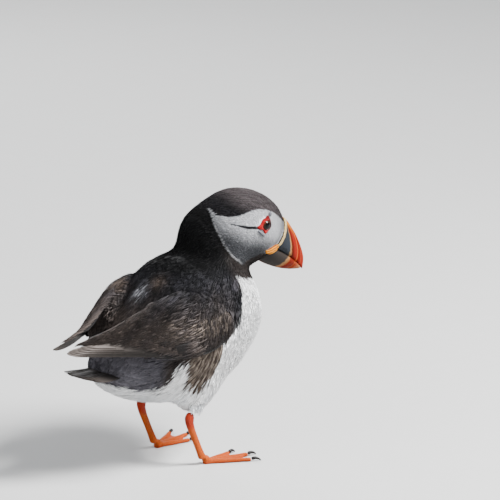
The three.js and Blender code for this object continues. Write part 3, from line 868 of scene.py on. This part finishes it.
def spaced(where, gap):
    """Faces of the skin, no two nearer than the gap."""
    cells, kept = {}, []
    around = [(i, j, k) for i in (-1, 0, 1) for j in (-1, 0, 1) for k in (-1, 0, 1)]
    for face in random.permutation(np.flatnonzero(where)):
        x, y, z = face_at[face]
        a, b, c = int(x // gap), int(y // gap), int(z // gap)
        near = (at for i, j, k in around for at in cells.get((a + i, b + j, c + k), ()))
        if all((x - p) ** 2 + (y - q) ** 2 + (z - r) ** 2 > gap * gap for p, q, r in near):
            cells.setdefault((a, b, c), []).append((x, y, z))
            kept.append(face)
    return np.array(kept)


WORN_TIP = shade("#4f463f")


def contour_feathers(name, where, gap, length, wide, lift, wear):
    """Broad feathers in overlapping order, in millimetres, with the share of brown at their tips."""
    roots = spaced(where & ~is_bare & (white_inside(face_at) < -1), gap)
    lifts = np.full(len(roots), float(lift))
    spine, out, faces = grown(face_at[roots], face_up[roots], roots, length, (0.85, 1.15), lifts,
                              (0.85, 1.15), 0.08, len(ROUND_TIP), 0.5)
    tilt = random.normal(0, 0.025, (len(spine), 1, 1))
    out = unit(out + np.cross(out, unit(np.gradient(spine, axis=1))) * tilt)
    colour = feather_tint(spine, 0.05)
    worn = np.clip(wear * (1 + random.normal(0, 2.4, len(spine))), 0, 1)
    half_wide = wide / 2 * random.uniform(0.85, 1.15, len(spine))
    vanes(name, spine, out, half_wide, ROUND_TIP, colour, faces, back_feather, across=9, thick=0.12,
          camber=0.05, sweep=0.55, jag=0.22, tip=blend(colour * 1.1, WORN_TIP, worn))


above_crease = (at_z > 125) | (off_middle < 27)
wing_side = outside & ~above_crease & (at_x < 31) & (at_z > 88) & (off_middle > 24)
on_wing = wing_side & (past_coverts(*wing_spot(face_at)) < -0.05)
on_mantle = on_back & above_crease
upper_mantle = on_mantle & (at_z > 142)
shoulder = on_mantle & ~upper_mantle & (at_x > -62)
tail_root = (at_x < -50) & (at_z > 74) & (off_middle < 30) & ~shoulder
tan_band = on_wing & (at_x < 4) & (at_x > -36)
contour_feathers("feathers_mantle", upper_mantle, 3.0, 9.5, 6, 1.7, 0.0)
contour_feathers("feathers_shoulder", shoulder, 3.8, 14, 8, 1.7, 0.03)
contour_feathers("feathers_tail_cover", tail_root & (face_up[:, 0] > -0.75), 4.0, 14, 8, 1.6, 0.02)
contour_feathers("feathers_wing_front", on_wing & ~tan_band & (at_x > 0), 3.0, 9, 6, 1.4, 0.03)
contour_feathers("feathers_wing_middle", tan_band, 3.4, 11, 6, 1.3, 0.05)
contour_feathers("feathers_wing_rear", on_wing & (at_x <= -36), 3.8, 14, 7, 1.7, 0.05)

# The loose barbs at the tips of these feathers break their outlines into fine hair.
coat("barbs_mantle", upper_mantle, 2.6, 7.5, 0.75, 0.07, 0.1, lift=1.1)
coat("barbs_shoulder", shoulder, 1.9, 9.5, 0.95, 0.1, 0.22, lift=1.25)
coat("barbs_wing", on_wing, 1.9, 8.5, 0.8, 0.1, 0.24, lift=1.2)
coat("barbs_tail_cover", tail_root, 1.6, 8.0, 0.8, 0.08, 0.08, lift=0.9)

# ------------------------------------------------------------------ flight feathers
# Ten primaries, nine secondaries and twelve tertials to each folded wing, small coverts over their
# roots, and the tail fan. Each long one is a stiff vane on its shaft, that lies on the next.

def wing_place(side, share, height, off):
    """Points on the outer face of a folded wing: share along it, height from -1 to 1, and off it."""
    here = through(WING, share)
    forward = unit((through(WING, share + 0.01) - through(WING, share - 0.01))[..., :3] * (1, side, 1))
    across = unit(np.array([0.0, 1, 0]) - forward * forward[..., 1:2])
    lean = np.radians(here[..., 5:6]) * -side
    across = across * np.cos(lean) + np.cross(forward, across) * np.sin(lean)
    upward = -np.cross(forward, across)
    outward = side * across
    full = (1 - np.minimum(np.abs(height), 0.999) ** 2.3)[..., None] ** (1 / 2.3)
    middle = here[..., :3] * (1, side, 1)
    face = here[..., 3:4] * full + off[..., None]
    point = middle + upward * height[..., None] * here[..., 4:5] + outward * face
    return point, unit(outward * np.maximum(full, 0.35) + upward * height[..., None] * 0.6)


flight_feather = vane_finish("flight_feather", 0.4, 0.55)
UNDER_COVERTS = 1.4  # how far into the wing the hidden roots lie


def wing_set(name, starts, ends, heights, tips, offs, wide, outline, colour, tip, bend=1.3, jag=0.05,
             lead=0.0, camber=0.1, thick=0.3, material=flight_feather):
    """A row of long feathers on both wings, from shares and heights at root and tip. They come out from
    under the small feathers ahead of their end by the share lead."""
    along = np.linspace(0, 1, len(outline))[None]
    for word, side in WORDS.items():
        share = starts[:, None] + (ends - starts)[:, None] * along
        height = heights[:, None] + (tips - heights)[:, None] * along**bend
        clear = smooth((past_coverts(share, height) + lead) / 0.06)
        spine, out = wing_place(side, share, height, (offs[:, None] + UNDER_COVERTS) * clear - UNDER_COVERTS)
        tone = np.exp(random.normal(0, 0.1, (len(starts), 1)))
        made = vanes(f"{name}_feathers_{word}", spine, out, np.full(len(starts), wide), outline,
                     shade(colour) * tone, on_skin(spine[:, 0])[2], material, across=9, thick=thick,
                     camber=camber, jag=jag, tip=shade(tip) * tone)
        if name == "primary":
            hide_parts(f"primaries_{word}")


BLUNT_TIP = (0.7, 0.95, 1, 1, 1, 1, 0.85, 0.5)
row = np.arange(10)
# The primaries run from near-black roots to grey-brown tips: the dark roots are painted shade, the pale tips
# their own worn colour.
wing_set("primary", 0.44 + 0.006 * row, 0.72 + 0.031 * row, -0.45 - 0.04 * row, 0.55 - 0.072 * row,
         1.5 - 0.16 * row, 4.6, (0.7, 0.9, 1, 1, 1, 0.98, 0.92, 0.84, 0.7, 0.4), "#1a1817", "#554e4a",
         camber=0.02, thick=0.12)
row = np.arange(9)
wing_set("secondary", 0.2 + 0.028 * row, 0.38 + 0.025 * row, -0.78 - 0.01 * row, -0.97 + 0.005 * row,
         -0.5 + 0 * row, 2.6, BLUNT_TIP, "#131213", "#1c1a1a", bend=0.8)
row = np.arange(12)
uneven = random.normal(0, 1, (3, 12))
wing_set("tertial", 0.37 + 0.014 * row, 0.5 + 0.033 * row + 0.008 * uneven[0], -0.72 + 0.13 * row,
         -0.85 + 0.15 * row + 0.03 * uneven[1], 1.1 - 0.03 * row + 0.2 * uneven[2], 4.2, BLUNT_TIP, "#0b0a0c",
         "#1a1817", bend=0.9, jag=0.35, lead=0.09, material=back_feather)

COVERTS_TRIED = 10000  # places to a wing, of which most are turned down
for word, side in WORDS.items():
    share, height = random.uniform(0.34, 0.9, COVERTS_TRIED), random.uniform(-0.97, 0.99, COVERTS_TRIED)
    keep = past_coverts(share, height) < -0.02 + random.normal(0, 0.012, COVERTS_TRIED)
    keep &= random.random(COVERTS_TRIED) < smooth((share - 0.34) / 0.18)
    share, height = share[keep, None], height[keep, None]
    along = np.linspace(0, 1, 3)
    reach_back = random.uniform(0.05, 0.08, share.shape)
    fall = random.normal(-0.12, 0.05, share.shape)
    rise = -0.4 + random.uniform(1.4, 2.6, share.shape) * along**0.7
    spine, out = wing_place(side, share + reach_back * along, np.clip(height + fall * along, -1, 1), rise)
    colour = feather_tint(spine, 0.17)
    vanes(f"coverts_{word}", spine, out, random.uniform(0.35, 0.6, len(share)), (0.55, 1.0, 0.12), colour,
          on_skin(spine[:, 0])[2])

TAIL_COUNT = 15
row = np.arange(TAIL_COUNT) - TAIL_COUNT // 2
along = np.linspace(0, 1, 8)[None]
root = np.stack([np.full(TAIL_COUNT, -56.0), row * 1.5, 84 - np.abs(row) * 0.3], 1)
end = np.stack([-101 + np.abs(row) ** 1.5 * 0.35, row * 2.45, 81.6 - np.abs(row) * 0.17], 1)
spine = root[:, None] + (end - root)[:, None] * along[..., None]
spine[..., 2] -= 1.6 * np.sin(along * math.pi)
out = np.broadcast_to(unit(np.stack([row * 0, row * 0.05, row * 0 + 1.0], 1))[:, None], spine.shape)
tail = vanes("tail_feathers", spine, out, np.full(TAIL_COUNT, 5.0), (0.7, 0.95, 1, 1, 1, 1, 0.88, 0.5),
             shade("#1a1818")[None], on_skin(root)[2], flight_feather, across=9, thick=0.3, camber=0.08,
             sweep=0.45, jag=0.05, tip=shade("#2c2724")[None])
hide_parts("tail")

# ------------------------------------------------------------------ eyes
# A dark eyeball with a clear bulging front, held by thin dark lids and a swollen three-cornered
# red ring. Small plates of blue-grey horn lie above and below it.

eye_wet, tree = finish_of("eye_wet", 0.1, Specular_IOR_Level=0.06, Coat_Weight=0.14, Coat_Roughness=0.03)
iris = banded(tree, carried(tree, "from_axis", "Fac"), [
    (0, "#050404"), (0.3, "#050404"), (0.33, "#2c1a12"), (0.5, "#3a2418"), (0.56, "#120c0a"),
])
clad(tree, toned(tree, iris, object_noise(tree, 2500), 0.7, 1.3))


def fleshy(name, text, dark, roughness, scale, height, tinted=False):
    """Bare wrinkled skin, waxy or wet, between two shades, darkened by the piece's own tint where told."""
    material, tree = finish_of(name, roughness, Specular_IOR_Level=0.1, Coat_Weight=0.03, Coat_Roughness=0.2)
    colour = mixed(tree, object_noise(tree, scale * 0.4, 3), dark, text)
    if tinted:
        both = {0: colour, 1: carried(tree, "tint")}
        colour = wire(tree, "VectorMath", both, operation="MULTIPLY").outputs["Vector"]
    clad(tree, colour, object_noise(tree, scale, 4), height)
    return material


red_ring = fleshy("red_ring", "#a00c12", "#64060a", 0.5, 1800, 0.2, tinted=True)
dark_lid = fleshy("dark_lid", "#2c2224", "#181214", 0.5, 2500, 0.2)
slate_plate = fleshy("slate_plate", "#6a6b70", "#45454a", 0.6, 1500, 0.2)


def ring_piece(name, steps, sides, place):
    """A ring, with each point put where place says by its turn round the ring and round its section."""
    shape = bmesh.new()
    loop = bmesh.ops.create_circle(shape, segments=sides, radius=0.25)["verts"]
    bmesh.ops.rotate(shape, verts=loop, cent=(0, 0, 0), matrix=Matrix.Rotation(math.pi / 2, 3, "X"))
    bmesh.ops.translate(shape, verts=loop, vec=(1, 0, 0))
    bmesh.ops.spin(shape, geom=shape.verts[:] + shape.edges[:], cent=(0, 0, 0), axis=(0, 0, 1), steps=steps,
                   angle=2 * math.pi, use_merge=True)
    bmesh.ops.remove_doubles(shape, verts=shape.verts, dist=1e-5)
    for vertex in shape.verts:
        x, y, z = vertex.co
        round_turn, section = math.atan2(y, x), math.atan2(z, math.hypot(x, y) - 1)
        vertex.co = Vector(place(round_turn, section)) * MM
    bmesh.ops.recalc_face_normals(shape, faces=shape.faces)
    return piece_of(name, shape)


def dressed(piece, material, slot, *nodes):
    """A piece that is done: its material, its body, its slot (not used) and the nodes it stands for."""
    piece.data.materials.append(material)
    piece.data.shade_smooth()
    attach(piece, "root")
    if nodes:
        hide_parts(*nodes)
    return piece


KNOB_RADIUS = 3.2


def refined(name, nodes, voxel, rounds, levels=2, swell=0.0, grow=0.0, knob=None):
    """A fine closed skin over plain solids. Swelling before it is closed fills the clefts between them,
    and a knob may be added at a joint."""
    shape = bmesh.new()
    for node in nodes:
        shape.from_mesh(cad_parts[node].data)
    bmesh.ops.remove_doubles(shape, verts=shape.verts, dist=WELD)
    if knob:
        at = Matrix.Translation(Vector(knob) * MM)
        bmesh.ops.create_icosphere(shape, subdivisions=3, radius=KNOB_RADIUS * MM, matrix=at)
    piece = piece_of(name, shape)
    soften = piece.modifiers.new("soften", "SUBSURF")
    soften.levels = soften.render_levels = levels
    for kind, change in (("swell", swell), ("draw_in", grow - swell)):
        if kind == "draw_in":
            add_remesh(piece, voxel, rounds)
        if change:
            move = piece.modifiers.new(kind, "DISPLACE")
            move.mid_level, move.strength = 0, change * MM
    return applied(piece)


GLOBE_EDGE = 0.82  # the lean from its axis past which the globe narrows, in radians
CORNEA_EDGE = 0.65
RING_INNER, RING_RISE = 3.85, 3.75  # how wide the ring's hole is, and how far out of the eye's middle
RING_LIT_CORNER = math.radians(225)  # where the ring is fully red, by the turn from ahead; away from it the red is darkened as painted shade
for word, side in WORDS.items():
    centre, ahead, out, upward = eye_place(side)
    shape = bmesh.new()
    bmesh.ops.create_uvsphere(shape, u_segments=48, v_segments=32, radius=1)
    for vertex in shape.verts:
        x, y, z = vertex.co
        lean = math.acos(max(-1, min(1, z)))
        bulge = 0.45 * max(0, math.cos(lean * 2.4)) * (lean < CORNEA_EDGE)
        radius = EYE["radius"] * (1 - 0.12 * smooth((lean - GLOBE_EDGE) / 0.2)) + bulge
        vertex.co = Vector((centre + (ahead * x + upward * y + out * z) * radius) * MM)
    bmesh.ops.recalc_face_normals(shape, faces=shape.faces)
    eye = piece_of(f"eye_globe_{word}", shape)
    away = mesh_arrays(eye.data)[0] - centre
    lean = np.arccos(np.clip((away @ out) / np.linalg.norm(away, axis=1), -1, 1)) / math.pi
    put_value(eye.data, "from_axis", lean.astype(np.float32) * 2)
    dressed(eye, eye_wet, "eye", f"eye_{word}")

    def sideways(turn):
        return ahead * math.cos(turn) + upward * math.sin(turn)

    def lid(turn, section):
        lean = 0.77 + 0.1 * (0.5 + 0.5 * math.cos(section))
        radius = 5.12 + 0.18 * (1 + math.sin(section))
        return centre + (sideways(turn) * math.sin(lean) + out * math.cos(lean)) * radius

    def red(turn, section):
        far = ring_reach(turn)
        flat = sideways(turn)
        hit = skin_tree.ray_cast(Vector((centre + flat * far + out * 15) * MM), Vector(-out))[0]
        foot = (np.array(hit) / MM - centre) @ out + 0.3
        share = 0.5 + 0.5 * math.cos(section)
        bead = 1 + 0.12 * math.sin(turn * 26) * math.sin(share * math.pi)
        rise = RING_RISE + (foot - RING_RISE) * share**1.3 + 0.45 * math.sin(share * math.pi) * bead
        rise = rise + 0.35 * math.sin(section)
        return centre + flat * (RING_INNER + (far - RING_INNER) * share) + out * rise

    dressed(ring_piece(f"eyelid_{word}", 60, 10, lid), dark_lid, "lid_skin")
    ring = ring_piece(f"eye_red_ring_{word}", 120, 14, red)
    away = mesh_arrays(ring.data)[0] - centre
    rear = (math.cos(RING_LIT_CORNER), math.sin(RING_LIT_CORNER))
    toward_lit = unit(np.stack([away @ ahead, away @ upward], 1)) @ rear
    # Painted shade: the ring's red falls to a quarter over its upper front and stays full at its lower rear.
    put_colour(ring.data, blend(np.full(3, 0.25), np.ones(3), smooth(0.6 + 0.6 * toward_lit)))
    dressed(ring, red_ring, "lid_skin", f"eye_ring_{word}")
    for plate in ("brow", "cheek"):
        node = f"{plate}_plate_{word}"
        dressed(refined(f"{plate}_horn_{word}", [node], 0.3, 4), slate_plate, "plate_horn", node)

# ------------------------------------------------------------------ bill
# A tall, narrow bill of horn: a blue-grey plate at its base, a pale line, then grooved scarlet to
# the tip. A pitted cream ridge frames it, and a wrinkled yellow rosette fills each mouth corner.

BILL_TIP = (66.3, -11.7)
CULMEN = [(16, 12), (25, 16), (33, 16.8), (41, 13.4), (49, 8.8), (56.6, 3), (63, -3.6), BILL_TIP]
GAPE = [(16, -7.4), (25, -7.2), (34, -7), (44, -7.2), (55, -8.6), BILL_TIP]
LIP = [(x - (1.6 if x == BILL_TIP[0] else 0), z + 0.5) for x, z in GAPE]
KEEL = [(16, -18), (25, -19.6), (34, -20), (45, -18.8), (55, -16.2), (64, -12.2)]
HALF_WIDTH = through([(0, 10.4), (0.35, 9.4), (0.55, 7.4), (0.75, 5), (0.9, 3), (1, 1.1)],
                     np.linspace(0, 1, 73))
# The bill's markings, as lines down its side: by height, how far ahead each lies.
HEIGHTS = (-20, -16, -12, -8, -5, 0, 5, 9, 12, 15, 17)
RIM_EDGE = (26, 27, 29, 32, 33.6, 34.6, 35, 35, 34.5, 33.5, 33)
PALE_LINE = (44, 48, 50, 50.6, 49.6, 46.9, 43.2, 39.5, 36.8, 35.2, 34.2)
SECOND_GROOVE = (50, 54, 56.2, 57, 56.3, 54.3, 50.6, 46.6, 43.3, 40.8, 39)
THIRD_GROOVE = (53, 57.6, 60, 61, 60.2, 57.9, 53.6, 49.4, 46.2, 43.6, 42)
TIP_EDGE = (56, 60, 64.6, 65, 63.4, 59, 54, 49.4, 46.4, 44.6, 44)


def mandible(name, wide_edge, narrow_edge, ridge):
    """One half of the bill, from its wide edge at the mouth to its narrow edge."""
    upper = wide_edge is GAPE
    shape = bmesh.new()
    bmesh.ops.create_uvsphere(shape, u_segments=80, v_segments=120, radius=1)
    start = np.array([vertex.co for vertex in shape.verts])
    polar = np.arccos(np.clip(start[:, 2], -1, 1)) / math.pi
    around = np.arctan2(start[:, 0], start[:, 1])
    full = np.minimum(1, np.sin(polar * math.pi) / 0.12) ** 0.6
    a, b = through(wide_edge, polar), through(narrow_edge, polar)
    over = (1 - np.cos(around)) / 2
    across = np.sin(around)
    flat = np.sign(across) * np.abs(across) ** 0.6
    wide = np.interp(polar, *HALF_WIDTH.T) * (1 + (ridge - 1) * over**1.3) * (1 if upper else 0.95)
    place = a + (b - a) * (0.5 + (over - 0.5) * full)[:, None]
    x, z = place.T
    lines = [np.interp(z, HEIGHTS, line)
             for line in (RIM_EDGE, PALE_LINE, SECOND_GROOVE, THIRD_GROOVE, TIP_EDGE)]
    ahead = np.zeros(len(x))
    for number, (near, far) in enumerate(zip(lines[:-1], lines[1:])):
        ahead = np.where(x > near, number + (x - near) / np.maximum(far - near, 0.3), ahead)
    cut = sum(deep * hump(x - line, breadth)
              for line, deep, breadth in zip(lines[1:4], (0.3, 0.55, 0.4), (0.7, 0.8, 0.7)))
    swell = 0.35 * hump(x - lines[1] - 2.2, 1.6) + 0.3 * hump(x - lines[2] - 2.2, 1.4)
    nostril = 0.7 * hump(z + 4.7, 0.5) * smooth((x - 37) / 1.2) * smooth((43.5 - x) / 1.2)
    out = flat * full * wide
    out -= np.sign(out) * np.minimum((cut - swell + nostril * upper) * np.abs(flat) * full, np.abs(out) * 0.6)
    ends = from_head(np.stack([x, out, z], 1))
    for vertex, end in zip(shape.verts, ends):
        vertex.co = end * MM
    bmesh.ops.recalc_face_normals(shape, faces=shape.faces)
    piece = piece_of(name, shape)
    from_edge = np.abs(z - b[:, 1])
    put_value(piece.data, "ahead", ahead)
    put_value(piece.data, "from_edge", from_edge)
    put_value(piece.data, "crest", smooth(1 - from_edge / 3.5) * smooth((50 - x) / 14) * upper)
    return piece


def bill_finish(name, stops, edge_text, edge_wide):
    """Horn in bands: the band's place comes from how far ahead it lies, with an edge of its own."""
    material, tree = finish_of(name, 0.6, Specular_IOR_Level=0.08, Coat_Weight=0.03, Coat_Roughness=0.2)
    ahead = sums(tree, "MULTIPLY_ADD", object_noise(tree, 420, 2), 0.16, carried(tree, "ahead", "Fac"))
    bands = banded(tree, sums(tree, "MULTIPLY", ahead, 0.25), [(place / 4, text) for place, text in stops])
    near = ranged(tree, carried(tree, "from_edge", "Fac"), edge_wide - 0.5, edge_wide, 1.0, 0.0)
    colour = mixed(tree, near, mixed(tree, carried(tree, "crest", "Fac"), bands, "#a5690a"), edge_text)
    scratch = drawn_noise(tree, object_place(tree), (500, 500, 2200), detail=4.0)
    clad(tree, toned(tree, colour, object_noise(tree, 900, 4), 0.8, 1.18), scratch, 0.12)
    return material


upper_horn = bill_finish("upper_horn", [
    (0, "#1b1e22"), (0.9, "#202429"), (0.96, "#7a6040"), (1.03, "#7a4e28"), (1.1, "#400b01"),
    (1.45, "#640c00"), (1.86, "#6c0f00"), (1.96, "#8e3a0c"), (2.06, "#883408"), (2.16, "#640c00"),
    (2.88, "#680e00"), (2.97, "#842e08"), (3.07, "#6c1402"), (3.8, "#681202"),
], "#802800", 1.1)
lower_horn = bill_finish("lower_horn", [
    (0, "#1c1917"), (0.9, "#241f1c"), (0.96, "#745434"), (1.05, "#723e1a"), (1.14, "#520e01"),
    (1.9, "#5c1402"), (2.0, "#7c3a16"), (2.2, "#621804"), (3.0, "#7e4324"), (3.8, "#8a6048"),
], "#4c2a14", 0.7)
dressed(mandible("bill_top", GAPE, CULMEN, 0.3), upper_horn, "bill_horn", "bill_upper")
dressed(mandible("bill_bottom", LIP, KEEL, 0.42), lower_horn, "bill_horn", "bill_lower")

cream_horn, tree = finish_of("cream_horn", 0.5)
pits = wire(tree, "TexVoronoi", {"Vector": object_place(tree), "Scale": 1300.0}).outputs["Distance"]
clad(tree, mixed(tree, pits, "#5f4a28", "#b39a60"), pits, 0.3)
dressed(refined("bill_cream_ridge", ["bill_rim"], 0.35, 5), cream_horn, "rim_horn", "bill_rim")

yellow_rosette, tree = finish_of("yellow_rosette", 0.6, Specular_IOR_Level=0.1)
waves = {"Vector": object_place(tree), "Scale": 260.0, "Distortion": 4.0, "Detail": 2.0}
wrinkles = wire(tree, "TexWave", waves).outputs["Fac"]
clad(tree, toned(tree, carried(tree, "tint"), wrinkles, 0.7, 1.15), wrinkles, 0.3)
for word in WORDS:
    piece = refined(f"mouth_rosette_{word}", [f"rosette_{word}"], 0.3, 3)
    points, normals = mesh_arrays(piece.data)
    flat = to_head(points)[:, ::2] @ unit(np.array([-0.55, 0.85]))
    folds = np.sin(flat * 2 * math.pi / 1.7 + 0.8 * ripple(points, 6, 31))
    set_points(piece.data, points + normals * (0.28 * folds)[:, None])
    # Painted shade: the folds are tinted dark brown in their hollows and yellow on their ridges.
    put_colour(piece.data, blend(shade("#7a3202"), shade("#bd7a06"), smooth(0.5 + 0.5 * folds)))
    dressed(piece, yellow_rosette, "rosette_skin", f"rosette_{word}")

# ------------------------------------------------------------------ legs
# Bare orange legs and webbed feet, clad in small horny scutes that are widest down the front of
# the shank and over the toes, with curved black claws.

orange_skin, tree = finish_of("orange_skin", 0.55, Specular_IOR_Level=0.15)
cells = {"Vector": object_place(tree), "Scale": 780.0}
scutes = wire(tree, "TexVoronoi", cells, feature="DISTANCE_TO_EDGE").outputs["Distance"]
edges = ranged(tree, scutes, 0.0, 0.12)
colour = toned(tree, carried(tree, "tint"), edges, 0.72, 1.05)
clad(tree, toned(tree, colour, object_noise(tree, 500, 3), 0.85, 1.15), edges, 0.25)
black_claw, tree = finish_of("black_claw", 0.45, Specular_IOR_Level=0.2)
clad(tree, mixed(tree, object_noise(tree, 900, 3), "#080706", "#1d1917"))

HEEL = (3.9, 27, 3.5)  # of the left foot
for word, side in WORDS.items():
    heel = (HEEL[0], side * HEEL[1], HEEL[2])
    leg = refined(f"leg_{word}", [f"tarsus_{word}", f"foot_{word}"], 0.5, 5, swell=0.8, knob=heel)
    points, normals = mesh_arrays(leg.data)
    x, y, z = points.T
    ridges = np.abs(np.sin(z * math.pi / 2.3)) * smooth((normals[:, 0] - 0.1) / 0.4) * smooth((z - 6) / 3)
    from_heel = np.hypot(x - 3, y - side * HEEL[1])
    toes = np.abs(np.sin(from_heel * math.pi / 2.0)) * smooth((normals[:, 2] - 0.2) / 0.5)
    toes = toes * smooth((5 - z) / 1.5) * smooth((z - 1.9) / 0.8)
    points += normals * (0.22 * (ridges + toes) - 0.1)[:, None]
    points[:, 2] = np.maximum(points[:, 2], 0)
    set_points(leg.data, points)
    joint = smooth((z - 27) / 6) + 0.35 * smooth((4 - z) / 3)
    put_colour(leg.data, blend(shade("#a04204"), shade("#8c2205"), np.clip(joint, 0, 1)))
    dressed(leg, orange_skin, "leg_skin", f"tarsus_{word}", f"foot_{word}")
    for toe in ("inner", "middle", "outer"):
        node = f"claw_{toe}_{word}"
        nail = refined(f"nail_{toe}_{word}", [node], 0.25, 2, levels=1, grow=0.2)
        dressed(nail, black_claw, "claw_horn", node)

# ------------------------------------------------------------------ stage
# Plain pale floor, soft studio light from large panels, and the camera at its place.

floor_shape = bmesh.new()
bmesh.ops.create_grid(floor_shape, x_segments=1, y_segments=1, size=6)
floor = piece_of("floor", floor_shape)
floor_finish, tree = finish_of("pale_floor", 0.8)
clad(tree, toned(tree, (0.43, 0.43, 0.426), object_noise(tree, 40), 0.97, 1.0))
floor.data.materials.append(floor_finish)

world = bpy.data.worlds.new("studio")
bpy.context.scene.world = world
world.use_nodes = True
world.node_tree.nodes["Background"].inputs["Color"].default_value = (0.9, 0.94, 1.0, 1)
world.node_tree.nodes["Background"].inputs["Strength"].default_value = 0.55

azimuth, elevation = math.radians(-42), math.radians(15)
right = Vector((math.cos(azimuth), math.sin(azimuth), 0))
level = math.cos(elevation)
back = Vector((math.sin(azimuth) * level, -math.cos(azimuth) * level, math.sin(elevation)))
up = back.cross(right)
aim = right * 0.0536 + up * 0.1529


def panel(name, place, size, power):
    light = bpy.data.lights.new(name, "AREA")
    light.size, light.energy = size, power
    lamp = linked(name, light)
    lamp.location = place
    lamp.rotation_euler = (aim - place).to_track_quat("-Z", "Y").to_euler()


panel("key_panel", aim + (right * 1.0 + up * 1.1 + back * 0.6), 0.6, 150)
panel("fill_panel", aim + (right * -1.2 + up * 0.5 + back * 1.0), 1.2, 14)
panel("back_panel", aim + (right * -0.5 + up * 1.0 - back * 1.2), 0.8, 18)

DISTANCE = 4.0
VIEW_WIDTH = 500 / 1350  # of the picture at that distance, in metres
camera = linked("camera", bpy.data.cameras.new("camera"))
camera.location = aim + back * DISTANCE
camera.rotation_euler = back.to_track_quat("Z", "Y").to_euler()
camera.data.sensor_width = 36
camera.data.lens = camera.data.sensor_width * DISTANCE / VIEW_WIDTH
bpy.context.scene.camera = camera
